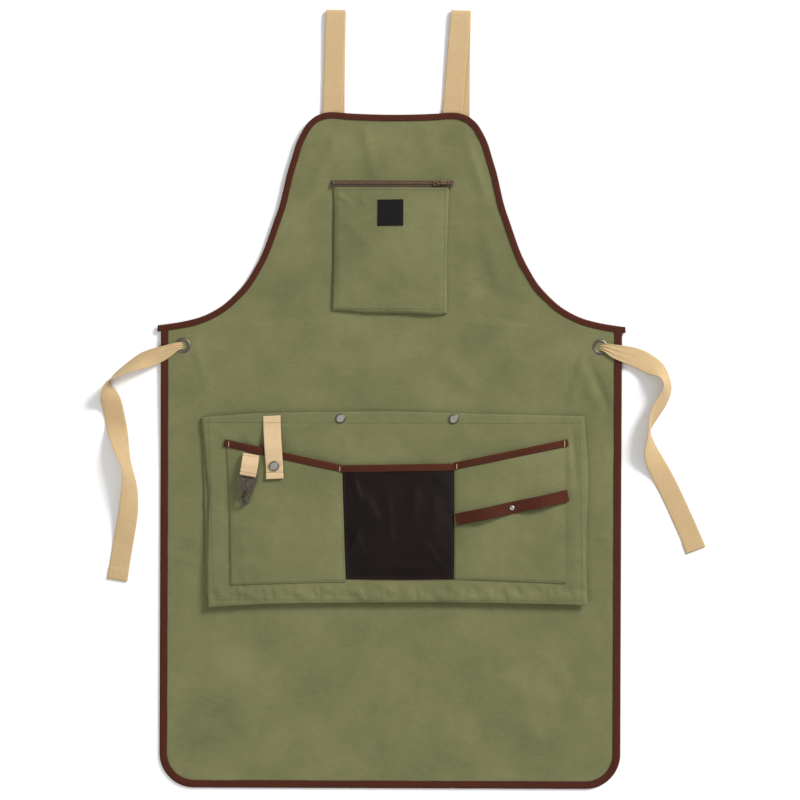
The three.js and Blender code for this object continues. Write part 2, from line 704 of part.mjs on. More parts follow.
// Chest pocket
const chestTopY = bodyHeight - chestTop;
const chestFootY = chestTopY - chestHeight;
const chestCorners = [
  [-chestWidth / 2 - 1, chestTopY],
  [chestWidth / 2 - 1, chestTopY],
  [-chestWidth / 2, chestFootY],
  [chestWidth / 2 - 3, chestFootY],
];
function chestCover(x, y) {
  const u = x / chestWidth + 0.5;
  const v = (chestTopY - y) / chestHeight;
  const side = mix(chestMouth, chestSide, smooth(v / 0.25));
  const rise = (chestDepth - chestSide) * hump(u) * smooth(v / 0.3) * smooth((1.06 - v) / 0.2);
  return canvasTop(x, y) + gap + side + rise;
}
const seat = (x, y) => canvasTop(x, y) + gap;
const chest = tray(
  patch(...chestCorners, 10, 10),
  insidePatch(chestCorners, canvas, 10, 10),
  seat,
  chestCover,
  canvas,
  canvas,
);
piece("chest_pocket", toGeometry(chest), "canvas");

// Label, bare, on the chest pocket
const labelX = -2;
const labelY = chestTopY - labelDrop;
const labelPatch = patch(
  [labelX - labelWidth / 2, labelY],
  [labelX + labelWidth / 2, labelY],
  [labelX - labelWidth / 2, labelY - labelHeight],
  [labelX + labelWidth / 2, labelY - labelHeight],
  2,
  3,
);
const onChest = (x, y) => chestCover(x, y) + gap;
piece("label", gridSolid(labelPatch, onChest, (x, y) => onChest(x, y) + labelThick), "label");

// Zip, on a slope from the pocket's top edge up to the bib
const zipFoot = chestCover(0, chestTopY) - zipTape;
const zipHead = seat(0, chestTopY + zipWidth);
const zip = new THREE.Group();
zip.position.set(0, chestTopY + gap, zipFoot);
zip.rotation.x = -Math.asin((zipFoot - zipHead) / zipWidth);
apron.add(zip);
function zipPiece(name, geometry, slot) {
  const mesh = piece(name, geometry, slot);
  zip.add(mesh);
}
const teethY = zipWidth / 2;
const teethBase = zipTape + gap;
const teethTop = teethBase + teethHeight;
zipPiece("zip_tape", toGeometry(box(-zipLength / 2, zipLength / 2, 0, zipWidth, 0, zipTape)), "zip");
const teethEnd = zipLength / 2 - 3;
const teethLine = [
  [-teethWidth / 2, teethBase],
  [teethWidth / 2, teethBase],
  [teethWidth / 2, teethBase + teethHeight / 2],
  [teethWidth / 4, teethTop],
  [-teethWidth / 4, teethTop],
  [-teethWidth / 2, teethBase + teethHeight / 2],
];
const teethRings = [-teethEnd, teethEnd].map((x) => teethLine.map(([y, z]) => [x, y + teethY, z]));
zipPiece("zip_teeth", sweep(teethRings, teethLine), "metal");
const sliderX = zipLength / 2 - sliderFromEnd;
const [sx0, sx1] = [sliderX - sliderLength / 2, sliderX + sliderLength / 2];
const plateTop = teethTop + gap + sliderWall;
let slider = box(sx0, sx1, teethY - sliderWidth / 2, teethY + sliderWidth / 2, teethBase, plateTop);
const channel = teethWidth / 2 + gap;
slider = slider.subtract(
  box(sx0 - 1, sx1 + 1, teethY - channel, teethY + channel, 0, teethTop + gap),
);
const bridge = [sliderX - bridgeRoom / 2 - sliderWall, sliderX + bridgeRoom / 2 + sliderWall];
const bridgeTop = plateTop + bridgeRoom + sliderWall;
slider = slider.add(
  box(...bridge, teethY - bridgeWidth / 2, teethY + bridgeWidth / 2, plateTop - 0.2, bridgeTop),
);
slider = slider.subtract(
  box(
    sliderX - bridgeRoom / 2,
    sliderX + bridgeRoom / 2,
    teethY - sliderWidth,
    teethY + sliderWidth,
    plateTop,
    plateTop + bridgeRoom,
  ),
);
zipPiece("zip_slider", toGeometry(slider), "metal");
const pullZ = plateTop + bridgeRoom / 2;
const pullThick = [pullZ - pullBar / 2, pullZ + pullBar / 2];
let pull = box(
  sliderX - pullBar / 2,
  sliderX + pullLength,
  teethY - pullWidth / 2,
  teethY + pullWidth / 2,
  ...pullThick,
);
const pullInside = bridgeWidth / 2 + gap + 0.2;
pull = pull.subtract(
  box(
    sliderX + pullBar / 2,
    sliderX + sliderLength / 2 + 1,
    teethY - pullInside,
    teethY + pullInside,
    plateTop - 1,
    plateTop + 4,
  ),
);
pull = pull.subtract(
  cylinder(pullWidth / 4, 0, 10, sliderX + pullLength - pullWidth / 2, teethY, 12),
);
zipPiece("zip_pull", toGeometry(pull), "metal");

// Pouch: a gusset round three sides and a front over it
const pouchTopY = bodyHeight - pouchTop;
const pouchFootY = pouchTopY - pouchHeight;
const pouchLeft = pouchShift - pouchWidth / 2;
const pouchRight = pouchShift + pouchWidth / 2;
const gussetCorners = [
  [pouchLeft, pouchTopY - 3],
  [pouchRight, pouchTopY - 3],
  [pouchLeft + pouchLean, pouchFootY],
  [pouchRight + pouchLean, pouchFootY],
];
function pouchUnder(x, y) {
  const v = (pouchTopY - y) / pouchHeight;
  return seat(x, y) + mix(pouchMouth, pouchDepth, smooth(v / 0.7));
}
const gussetTop = (x, y) => pouchUnder(x, y) - gap;
const gusset = toSolid(gridSolid(patch(...gussetCorners, 16, 8), seat, gussetTop)).subtract(
  toSolid(
    gridSolid(
      insidePatch(gussetCorners, canvas, 16, 8),
      (x, y) => seat(x, y) - pouchDepth,
      (x, y) => seat(x, y) + 3 * pouchDepth,
    ),
  ),
);
piece("pouch_gusset", toGeometry(gusset), "canvas");
const frontCorners = [
  [pouchLeft, pouchTopY],
  [pouchRight, pouchTopY],
  [pouchLeft + pouchLean + pouchTuck, pouchFootY],
  [pouchRight + pouchLean, pouchFootY],
];
const pouchOver = (x, y) => pouchUnder(x, y) + canvas;
let front = toSolid(gridSolid(patch(...frontCorners, 14, 8), pouchUnder, pouchOver));
const snapY = pouchTopY - snapInset;
const snapXs = [snapShift - snapSpread / 2, snapShift + snapSpread / 2];

// A snap or rivet: a domed cap on a post, with an optional base.
function stud(x, y, foot, under, top, cap, rise, post, base) {
  const [r, p] = [cap / 2, post / 2];
  const line = [[0, foot]];
  if (base) line.push([base / 2, foot], [base / 2, foot + snapRise]);
  line.push([p, base ? foot + snapRise : foot], [p, under], [r, under]);
  line.push([r, under + rise * 0.4], [r * 0.75, under + rise * 0.85], [r * 0.4, top], [0, top]);
  const g = new THREE.LatheGeometry(line.map(([a, b]) => new THREE.Vector2(a, b)), 16);
  g.rotateX(Math.PI / 2);
  g.translate(x, y, 0);
  return meshOf(
    Array.from({ length: g.attributes.position.count }, (_, i) => [
      g.attributes.position.getX(i),
      g.attributes.position.getY(i),
      g.attributes.position.getZ(i),
    ]),
    Array.from({ length: g.index.count / 3 }, (_, i) => [0, 1, 2].map((k) => g.index.getX(3 * i + k))),
  );
}
["pouch_snap_left", "pouch_snap_right"].forEach((name, i) => {
  const x = snapXs[i];
  front = front.subtract(cylinder(snapPost / 2 + gap, 0, 40, x, snapY, 12));
  const under = pouchOver(x, snapY) + gap;
  const solid = stud(
    x, snapY, seat(x, snapY), under, under + snapRise, snapCap, snapRise, snapPost, snapCap * 0.8,
  );
  piece(name, solid, "nickel");
});
piece("pouch_front", toGeometry(front), "canvas");

// Front pockets. Each has its own sides, a slanted or level mouth and a common line of feet.
const pocketFootY = pouchFootY + pocketFoot;
const pocketLeft = pocketShift - pocketSpan / 2;
const pocketRight = pocketShift + pocketSpan / 2;
const centreLeft = pocketShift + centreShift - centrePocket / 2;
const centreRight = centreLeft + centrePocket;
const between = gap + 0.3;
// left, right: the sides, riseLeft, riseRight: height of the mouth's ends above the feet
const pocketTable = [
  {
    name: "pocket_left", slot: "canvas", wall: canvas,
    left: pocketLeft, right: centreLeft - between, riseLeft: sideRise, riseRight: pocketRise,
  },
  {
    name: "pocket_centre", slot: "leather", wall: leather,
    left: centreLeft, right: centreRight, riseLeft: pocketRise, riseRight: pocketRise + 2,
  },
  {
    name: "pocket_right", slot: "canvas", wall: canvas,
    left: centreRight + between, right: pocketRight, riseLeft: pocketRise + 2, riseRight: sideRise,
  },
];
const onPouch = (x, y) => pouchOver(x, y) + gap;
function pocketCover(p) {
  return (x, y) => {
    const u = (x - p.left) / (p.right - p.left);
    const mouth = pocketFootY + mix(p.riseLeft, p.riseRight, Math.min(1, Math.max(0, u)));
    const v = (mouth - y) / (mouth - pocketFootY);
    const rise = hump(u) ** 0.5 * smooth((1 - v) / 0.3);
    return onPouch(x, y) + pocketSeam + (pocketDepth - pocketSeam) * rise;
  };
}
const pockets = {};
const pocketSolids = {};
for (const p of pocketTable) {
  const cover = pocketCover(p);
  const corners = [
    [p.left, pocketFootY + p.riseLeft],
    [p.right, pocketFootY + p.riseRight],
    [p.left, pocketFootY],
    [p.right, pocketFootY],
  ];
  pockets[p.name] = { ...p, cover, corners };
  pocketSolids[p.name] = tray(
    patch(...corners, 8, 6),
    insidePatch(corners, p.wall, 8, 6),
    onPouch,
    cover,
    p.wall,
    p.wall,
  );
}

// Binding on each pocket's mouth: a leg down its front and a fold over its edge.
for (const p of Object.values(pockets)) {
  const [tl, tr] = p.corners;
  const run = [tr[0] - tl[0], tr[1] - tl[1]];
  const slope = Math.hypot(...run) / run[0];
  const strip = (from, to, ends) =>
    patch(
      [tl[0] - ends, tl[1] + from * slope],
      [tr[0] + ends, tr[1] + from * slope],
      [tl[0] - ends, tl[1] + to * slope],
      [tr[0] + ends, tr[1] + to * slope],
      8,
      1,
    );
  const low = (x, y) => p.cover(x, y) - p.wall;
  const high = (x, y) => p.cover(x, y) + gap + bindingWall;
  const whole = toSolid(gridSolid(strip(bindingWall + gap, -bindingWidth, 0), low, high));
  const room = toSolid(
    gridSolid(
      strip(gap, -2 * bindingWidth, 1),
      (x, y) => p.cover(x, y) - 3 * p.wall,
      (x, y) => p.cover(x, y) + gap,
    ),
  );
  piece(p.name + "_binding", toGeometry(whole.subtract(room)), "binding");
}

// Tool tape across the right pocket, sewn at both ends and riveted in its middle
const rightPocket = pockets.pocket_right;
const tapeEnds = [
  [rightPocket.left + 2, pocketFootY + tapeFoot],
  [rightPocket.right + 2, pocketFootY + tapeFoot + tapeClimb],
];
const tapeSteps = 16;
const tapeSlope = THREE.MathUtils.radToDeg(
  Math.atan2(tapeClimb, tapeEnds[1][0] - tapeEnds[0][0]),
);
const tapeStations = [];
for (let i = 0; i <= tapeSteps; i++) {
  const t = i / tapeSteps;
  const x = mix(tapeEnds[0][0], tapeEnds[1][0], t);
  const y = mix(tapeEnds[0][1], tapeEnds[1][1], t);
  const bow = tapeBow * Math.sin(2 * Math.PI * t) ** 2;
  const inPocket = Math.min(x, rightPocket.right);
  const z = rightPocket.cover(inPocket, y) + 2 * gap + tapeThick / 2 + bow;
  tapeStations.push({ x, y, z, tilt: 0, width: 1, thick: 1, side: tapeSlope + 90 });
}
const rivetX = (tapeEnds[0][0] + tapeEnds[1][0]) / 2;
const rivetY = (tapeEnds[0][1] + tapeEnds[1][1]) / 2;
const rivetHole = cylinder(rivetPost / 2 + gap, 0, 60, rivetX, rivetY, 12);
const tape = toSolid(ribbon(tapeStations, tapeWidth, tapeThick, 1)).subtract(rivetHole);
piece("tool_tape", toGeometry(tape), "binding");
pocketSolids.pocket_right = pocketSolids.pocket_right.subtract(rivetHole);
const tapeTop = tapeStations[tapeSteps / 2].z + tapeThick / 2 + 2 * gap;
const rivetFoot = rightPocket.cover(rivetX, rivetY) - canvas;
piece(
  "tape_rivet",
  stud(rivetX, rivetY, rivetFoot, tapeTop, tapeTop + 1, rivetCap, 1, rivetPost, 0),
  "nickel",
);

// Webbing tab sewn to the pouch's top, hanging over the left pocket's mouth
const leftPocket = pockets.pocket_left;
const tabX = pouchLeft + tabShift;
const tabU = (tabX - leftPocket.left) / (leftPocket.right - leftPocket.left);
const mouthY = pocketFootY + mix(leftPocket.riseLeft, leftPocket.riseRight, tabU);
const tabEndY = pouchTopY - tabLength;
const tabSlack = 3 * gap;
const overPouch = (y) => pouchOver(tabX, y) + gap + webbing / 2;
const overMouth = leftPocket.cover(tabX, mouthY) + 2 * gap + bindingWall + webbing / 2 + tabSlack;
const snapAtY = tabEndY + tabSnapUp;
const onPocket = (y) => leftPocket.cover(tabX, y) + gap + webbing / 2 + tabSlack;
const tabAt = (y, z) => ({ x: tabX, y, z, tilt: 0, width: 1, thick: 1, side: 0, sharp: 1 });
const tabStations = [
  tabAt(pouchTopY - 1, overPouch(pouchTopY)),
  tabAt(mix(pouchTopY, mouthY, 0.35), overPouch(mix(pouchTopY, mouthY, 0.35)) + tabSlack),
  tabAt(mix(pouchTopY, mouthY, 0.65), mix(overPouch(mouthY), overMouth, 0.5)),
  tabAt(mouthY + 4 * bindingWall + tabWidth / 6, overMouth),
  tabAt(snapAtY - 0.6 * tabSnapCap, overMouth),
  tabAt(tabEndY, onPocket(tabEndY) + tabSlack),
];
const tabHole = cylinder(snapPost / 2 + gap, 0, 60, tabX, snapAtY, 12);
const tab = toSolid(ribbon(tabStations, tabWidth, webbing, 1)).subtract(tabHole);
piece("tab_strap", toGeometry(tab), "webbing");
pocketSolids.pocket_left = pocketSolids.pocket_left.subtract(tabHole);
const tabTop = overMouth + webbing / 2 + gap;
piece(
  "tab_snap",
  stud(
    tabX, snapAtY, leftPocket.cover(tabX, snapAtY) - canvas, tabTop, tabTop + snapRise,
    tabSnapCap, snapRise, snapPost, 0,
  ),
  "nickel",
);
for (const p of pocketTable) piece(p.name, toGeometry(pocketSolids[p.name]), p.slot);

// Snap clip in a loop of webbing, sewn below the left pocket's binding
const clip = new THREE.Group();
const clipX = leftPocket.left + clipInset;
const clipAlong = clipInset / (leftPocket.right - leftPocket.left);
const clipMouth = pocketFootY + mix(leftPocket.riseLeft, leftPocket.riseRight, clipAlong);
const clipY = clipMouth - bindingWidth - 10 * gap;
const clipUnder = [-0.8, -0.4, 0, 0.3, 0.6].flatMap((u) =>
  [0, 0.5, 1].map((v) => {
    const x = clipX + u * clipWidth;
    return leftPocket.cover(x, clipY - v * (loopLength + clipLength));
  }),
);
clip.position.set(clipX, clipY, Math.max(...clipUnder) + gap);
clip.rotation.z = radians(clipTurn);
apron.add(clip);
function clipPiece(name, geometry, slot) {
  clip.add(piece(name, geometry, slot));
}
const bend = loopThick / 2 + loopBend;
const bendY = -loopLength + bend + loopThick / 2;
const sewnUnder = [-0.5, 0, 0.5].map((share) =>
  leftPocket.cover(clipX + share * loopWidth, clipY - share * loopWidth * Math.tan(radians(-clipTurn))),
);
const sewnZ = Math.max(...sewnUnder) + gap - clip.position.z;
const loopLine = [
  { y: 0, z: sewnZ + 1.5 * loopThick + gap },
  { y: -loopLength * 0.4, z: loopThick / 2 + 2 * bend },
];
for (const turn of [90, 45, 0, -45, -90]) {
  const [c, z] = [Math.cos(radians(turn)), Math.sin(radians(turn))];
  loopLine.push({ y: bendY - bend * c, z: loopThick / 2 + bend * (1 + z) });
}
loopLine.push({ y: -loopLength * 0.4, z: loopThick / 2 }, { y: 0, z: sewnZ + loopThick / 2 });
const loopStations = loopLine.map(({ y, z }) => ({
  x: 0, y, z, tilt: 0, width: 1, thick: 1, side: 0, sharp: 1,
}));
const loopRings = ribbonRings(loopStations, loopWidth, loopThick, 1, -clip.position.z);
clipPiece("clip_loop", sweep(loopRings, ribbonSection), "webbing");

const plateZ = [loopThick / 2 + bend - clipThick / 2, loopThick / 2 + bend + clipThick / 2];
const plateHead = bendY + clipBar / 2;
const tipY = -loopLength - clipLength;
const extrude = (shape, z0, z1) => {
  const g = new THREE.ExtrudeGeometry(shape, { depth: z1 - z0, bevelEnabled: false, curveSegments: 8 });
  g.translate(0, 0, z0);
  return toSolid(g);
};
const plateShape = new THREE.Shape();
plateShape.moveTo(-clipWidth / 2, plateHead);
plateShape.lineTo(-clipWidth / 2, -loopLength - clipShoulder);
plateShape.lineTo(-clipTip, tipY + clipTip);
plateShape.absarc(0, tipY + clipTip, clipTip, Math.PI, 2 * Math.PI, false);
plateShape.lineTo(clipWidth / 2, -loopLength - clipShoulder);
plateShape.lineTo(clipWidth / 2, plateHead);
plateShape.closePath();
let plate = extrude(plateShape, ...plateZ);
const slotTop = bendY - clipBar / 2;
plate = plate.subtract(
  box(-loopWidth / 2 - 2 * gap, loopWidth / 2 + 2 * gap, slotTop - clipSlot, slotTop, -1, 20),
);
const eyeShape = new THREE.Shape();
const eyeLow = tipY + clipTip - 0.5;
eyeShape.moveTo(-eyeRadius / 3, -loopLength - eyeTop);
eyeShape.lineTo(-eyeRadius, eyeLow);
eyeShape.absarc(0, eyeLow, eyeRadius, Math.PI, 2 * Math.PI, false);
eyeShape.lineTo(eyeRadius / 3, -loopLength - eyeTop);
eyeShape.closePath();
plate = plate.subtract(extrude(eyeShape, -1, 20));
// The gate's gap, cut from the eye out through the right side
const gateHead = [clipTip - gateSide, -loopLength - eyeTop + gateRise];
const gateFoot = [clipTip - gateSide - gap, eyeLow - 0.5];
plate = plate.subtract(box(0, clipWidth, eyeLow + 0.5, gateHead[1] - gateRise - gateCut, -1, 20));
const gateZ = [plateZ[1] + gap, plateZ[1] + gap + gateThick];
const postTop = gateZ[1] + gap;
plate = plate.add(cylinder(gatePost / 2, plateZ[1] - 0.5, postTop + 0.5, ...gateHead, 12));
plate = plate.add(cylinder(rivetHead / 2, postTop, postTop + headRise, ...gateHead, 12));
for (const [x, y] of [
  [-clipWidth / 5, -loopLength - rivetDrop],
  [clipWidth / 8, -loopLength - rivetDrop],
]) {
  plate = plate.add(cylinder(rivetHead / 2, plateZ[1] - 0.5, plateZ[1] + headRise, x, y, 12));
}
clipPiece("clip_plate", toGeometry(plate), "metal");
const gateShape = new THREE.Shape();
gateShape.moveTo(gateHead[0] - gateWidth / 2, gateHead[1]);
gateShape.lineTo(gateFoot[0] - gateWidth / 2, gateFoot[1]);
gateShape.absarc(gateFoot[0], gateFoot[1], gateWidth / 2, Math.PI, 2 * Math.PI, false);
gateShape.lineTo(gateHead[0] + gateWidth / 2, gateHead[1]);
gateShape.absarc(gateHead[0], gateHead[1], gateWidth / 2, 0, Math.PI, false);
const gate = extrude(gateShape, ...gateZ).subtract(
  cylinder(gatePost / 2 + gap, 0, 30, ...gateHead, 12),
);
clipPiece("clip_gate", toGeometry(gate), "metal");
export default apron;
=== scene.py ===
# %% [markdown]
# # A gardening apron in canvas
# The apron lies flat, seen from above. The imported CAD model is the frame: it says where each piece lies and
# which body it moves with. Each cloth piece is laid over its solid as a fine sheet with folds, seams and
# stitches, and each metal piece gets a finer form of the same size.

import bpy
import bmesh
import itertools
import math
import numpy as np
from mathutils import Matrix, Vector
from mathutils.bvhtree import BVHTree


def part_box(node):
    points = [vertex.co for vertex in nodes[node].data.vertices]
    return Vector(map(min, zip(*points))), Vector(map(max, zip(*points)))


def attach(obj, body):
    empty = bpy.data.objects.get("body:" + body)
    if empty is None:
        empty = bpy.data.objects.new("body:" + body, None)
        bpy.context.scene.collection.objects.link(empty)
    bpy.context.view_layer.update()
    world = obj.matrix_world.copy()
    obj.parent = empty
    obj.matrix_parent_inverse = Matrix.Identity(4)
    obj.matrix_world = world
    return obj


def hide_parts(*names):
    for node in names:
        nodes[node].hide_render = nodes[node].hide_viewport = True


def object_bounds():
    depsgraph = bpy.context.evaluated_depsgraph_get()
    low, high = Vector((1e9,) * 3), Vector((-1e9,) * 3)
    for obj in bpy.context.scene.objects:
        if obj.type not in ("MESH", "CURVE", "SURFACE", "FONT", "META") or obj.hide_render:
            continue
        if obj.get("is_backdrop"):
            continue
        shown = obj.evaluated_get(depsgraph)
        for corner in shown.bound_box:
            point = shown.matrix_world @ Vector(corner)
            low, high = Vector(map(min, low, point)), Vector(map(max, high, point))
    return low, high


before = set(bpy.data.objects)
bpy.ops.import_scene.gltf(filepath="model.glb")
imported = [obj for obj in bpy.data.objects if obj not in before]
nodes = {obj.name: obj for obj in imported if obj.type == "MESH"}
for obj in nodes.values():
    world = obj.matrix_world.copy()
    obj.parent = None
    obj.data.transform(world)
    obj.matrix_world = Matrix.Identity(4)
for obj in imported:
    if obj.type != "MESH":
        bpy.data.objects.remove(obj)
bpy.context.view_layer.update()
MM = 0.001

# %% [markdown]
# ## Helpers
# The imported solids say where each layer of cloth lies. Rays cast straight down on them give a height for
# any place, so each fine sheet lies where its solid does. The sheets could also be dropped by a cloth
# simulation, but an apron laid flat barely drapes, and heights in code give the same folds each time.


# %% Soft steps, noise and creases
def smooth(t):
    t = np.clip(t, 0.0, 1.0)
    return t * t * (3.0 - 2.0 * t)


def noise(x, y, size, seed):
    """Smooth lattice noise from -1 to 1 over places in millimetres; size is the width of a bump."""
    lattice = np.random.RandomState(seed).uniform(-1.0, 1.0, (64, 64))
    u, v = np.asarray(x) / size + 500.0, np.asarray(y) / size + 500.0
    i, j = np.floor(u).astype(int), np.floor(v).astype(int)
    fu, fv = smooth(u - i), smooth(v - j)
    low = lattice[i % 64, j % 64] * (1 - fu) + lattice[(i + 1) % 64, j % 64] * fu
    high = lattice[i % 64, (j + 1) % 64] * (1 - fu) + lattice[(i + 1) % 64, (j + 1) % 64] * fu
    return low * (1 - fv) + high * fv


def crease(x, y, start, end, width, rise):
    """A soft ridge along a line, which fades at both ends. All in millimetres."""
    run = np.array(end, float) - np.array(start, float)
    length = np.hypot(*run)
    way = run / length
    dx, dy = x - start[0], y - start[1]
    along = (dx * way[0] + dy * way[1]) / length
    across = (-dx * way[1] + dy * way[0]) / width
    ends = smooth(along / 0.35) * smooth((1.0 - along) / 0.35)
    return rise * ends * np.exp(-across * across)

# %% [markdown]
# A BVH tree answers a ray quickly. Where a ray misses by a hair at an edge, the nearest point serves.


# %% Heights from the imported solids
def skin_of(name):
    """The CAD solid as a tree for rays."""
    mesh = nodes[name].data
    points = [v.co.copy() for v in mesh.vertices]
    return BVHTree.FromPolygons(points, [tuple(p.vertices) for p in mesh.polygons])


trees = {}


def top_of(name, x, y):
    """Height of the CAD solid's top over a place, in millimetres."""
    if name not in trees:
        trees[name] = skin_of(name)
    tree = trees[name]
    hit = tree.ray_cast(Vector((x * MM, y * MM, 0.2)), Vector((0, 0, -1)))[0]
    if hit is None:
        hit = tree.find_nearest(Vector((x * MM, y * MM, 0.02)))[0]
    return hit.z / MM


def settled(z, rounds):
    """Evens out the facets of a grid of heights."""
    for _ in range(rounds):
        wide = np.pad(z, 1, mode="edge")
        z = (wide[:-2, 1:-1] + wide[2:, 1:-1] + wide[1:-1, :-2] + wide[1:-1, 2:] + 2 * z) / 6
    return z

# %% [markdown]
# All measures are written in millimetres and turned into metres once, here. Each piece keeps its place in
# its mesh, with its object at the origin, so that a weave on Object coordinates never slides.


# %% Meshes from points
def new_object(name, points, faces, uvs=None):
    """An object from points in millimetres. uvs: one pair in metres for each point."""
    mesh = bpy.data.meshes.new(name)
    mesh.from_pydata([(p[0] * MM, p[1] * MM, p[2] * MM) for p in points], [], faces)
    if uvs is not None:
        layer = mesh.uv_layers.new(name="cloth")
        for loop in mesh.loops:
            layer.data[loop.index].uv = uvs[loop.vertex_index]
    mesh.validate()
    for polygon in mesh.polygons:
        polygon.use_smooth = True
    obj = bpy.data.objects.new(name, mesh)
    bpy.context.scene.collection.objects.link(obj)
    return obj


def applied(obj):
    """The same object with its modifiers turned into plain mesh."""
    graph = bpy.context.evaluated_depsgraph_get()
    mesh = bpy.data.meshes.new_from_object(obj.evaluated_get(graph))
    obj.modifiers.clear()
    obj.data = mesh
    return obj


def thicken(obj, thick):
    """Gives an open sheet its thickness, downwards."""
    mod = obj.modifiers.new("thickness", "SOLIDIFY")
    mod.thickness = thick * MM
    mod.offset = -1.0
    mod.use_even_offset = False
    return applied(obj)


def finish_piece(obj, material, body, replaced=()):
    """The piece's finish, the body that it rides on, and the CAD nodes that it stands for."""
    obj.data.materials.clear()
    obj.data.materials.append(material)
    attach(obj, body)
    if replaced:
        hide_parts(*replaced)
    print(f"{obj.name}: {len(obj.data.polygons)} faces on {body}")
    return obj


def grid_faces(rows, columns, first=0):
    return [
        (
            first + r * columns + c,
            first + (r + 1) * columns + c,
            first + (r + 1) * columns + c + 1,
            first + r * columns + c + 1,
        )
        for r in range(rows - 1)
        for c in range(columns - 1)
    ]


def sheet_object(name, x, y, z, thick):
    """A cloth sheet over grids of places and heights, with x growing along a row and y falling."""
    rows, columns = x.shape
    points = np.stack([x, y, z], axis=-1).reshape(-1, 3)
    uvs = points[:, :2] * MM
    return thicken(new_object(name, points, grid_faces(rows, columns), uvs), thick)


# %% [markdown]
# ## Materials
# A woven cloth could be a picture laid on the sheet. Here sine waves of the thread spacing make it, so it
# stays sharp near by and follows no picture. The weaves are node groups, since several cloths share them.


# %% Screen colours
def linear(red, green, blue):
    """A colour given from 0 to 255 as a screen shows it."""
    values = [c / 255 for c in (red, green, blue)]
    return [c / 12.92 if c <= 0.04045 else ((c + 0.055) / 1.055) ** 2.4 for c in values] + [1.0]

# %% [markdown]
# Node trees take many lines to write. This small class adds a node and joins its inputs in one call.


# %% Short forms for nodes
class Net:
    """Short forms for adding and joining nodes."""

    def __init__(self, tree):
        self.tree = tree

    def add(self, kind, inputs=None, **settings):
        node = self.tree.nodes.new(kind)
        for key, value in settings.items():
            setattr(node, key, value)
        for key, value in (inputs or {}).items():
            if hasattr(value, "is_output"):
                self.tree.links.new(value, node.inputs[key])
            else:
                node.inputs[key].default_value = value
        return node

    def math(self, operation, a, b=None, c=None):
        given = {0: a}
        if b is not None:
            given[1] = b
        if c is not None:
            given[2] = c
        return self.add("ShaderNodeMath", given, operation=operation).outputs[0]

    def noise(self, vector, scale, detail=2.0, rough=0.5):
        node = self.add(
            "ShaderNodeTexNoise",
            {"Vector": vector, "Scale": scale, "Detail": detail, "Roughness": rough},
        )
        return node.outputs["Fac"]

    def ramp(self, value, low, high):
        """value moved from low..high to 0..1."""
        node = self.add("ShaderNodeMapRange", {0: value, 1: low, 2: high, 3: 0.0, 4: 1.0})
        return node.outputs[0]

    def mix(self, share, a, b, blend="MIX"):
        node = self.add("ShaderNodeMix", data_type="RGBA", blend_type=blend)
        for socket, value in ((node.inputs[0], share), (node.inputs[6], a), (node.inputs[7], b)):
            if hasattr(value, "is_output"):
                self.tree.links.new(value, socket)
            else:
                socket.default_value = value
        return node.outputs[2]

# %% [markdown]
# Canvas is a plain weave: each thread goes over one and under one. The tapes and the webbing are twills,
# whose ribs lean one way and then the other. Both give a height for the bump and a painted shade for the
# colour, darker between the threads.


# %% Weaves
def weave_group(name, twill):
    """Cloth seen from near: Height of the threads, and Shade, a painted shade that is darker between them."""
    tree = bpy.data.node_groups.new(name, "ShaderNodeTree")
    tree.interface.new_socket("Vector", in_out="INPUT", socket_type="NodeSocketVector")
    tree.interface.new_socket("Thread", in_out="INPUT", socket_type="NodeSocketFloat")
    tree.interface.new_socket("Height", in_out="OUTPUT", socket_type="NodeSocketFloat")
    tree.interface.new_socket("Shade", in_out="OUTPUT", socket_type="NodeSocketFloat")
    net = Net(tree)
    given = net.add("NodeGroupInput")
    place, thread = given.outputs[0], given.outputs[1]
    wander = net.add("ShaderNodeTexNoise", {"Vector": place, "Scale": 90.0, "Detail": 1.0})
    shift = net.add(
        "ShaderNodeVectorMath", {0: wander.outputs["Color"], 1: (0.5, 0.5, 0.5)}, operation="SUBTRACT"
    )
    small = net.add("ShaderNodeVectorMath", {0: shift.outputs[0], "Scale": 0.0012}, operation="SCALE")
    moved = net.add("ShaderNodeVectorMath", {0: place, 1: small.outputs[0]}, operation="ADD")
    parts = net.add("ShaderNodeSeparateXYZ", {0: moved.outputs[0]})
    turns = net.math("DIVIDE", math.pi, thread)
    u = net.math("MULTIPLY", parts.outputs[0], turns)
    v = net.math("MULTIPLY", parts.outputs[1], turns)
    if twill:
        # Ribs lean one way and then the other in bands, as in herringbone tape.
        band = net.math("MULTIPLY", v, 0.5)
        zigzag = net.math("ABSOLUTE", net.math("SINE", band))
        leaning = net.math("ADD", u, net.math("MULTIPLY", zigzag, 2.4))
        rib = net.math("ABSOLUTE", net.math("SINE", leaning))
        cross = net.math("ABSOLUTE", net.math("SINE", v))
        height = net.math("ADD", net.math("MULTIPLY", rib, 0.75), net.math("MULTIPLY", cross, 0.25))
    else:
        warp, weft = net.math("SINE", u), net.math("SINE", v)
        over = net.ramp(net.math("MULTIPLY", warp, weft), -0.25, 0.25)
        over.node.clamp = True
        lift = net.math("SUBTRACT", net.math("ABSOLUTE", warp), net.math("ABSOLUTE", weft))
        height = net.math("MULTIPLY_ADD", over, lift, net.math("ABSOLUTE", weft))
    slub = net.noise(place, 700.0, 2.0)
    height = net.math("ADD", height, net.math("MULTIPLY", slub, 0.5))
    # Painted shade: the low places between the threads come out darker.
    shade = net.ramp(height, 0.1, 1.3)
    out = net.add("NodeGroupOutput")
    tree.links.new(height, out.inputs[0])
    tree.links.new(shade, out.inputs[1])
    return tree


plain_weave = weave_group("plain weave", False)
twill_weave = weave_group("twill tape", True)

# %% [markdown]
# Cloth is matt and a little uneven: long and short streaks of thicker thread, and slow clouds of wear.
# Tapes read their own UV map, because their weave follows them round each bend.


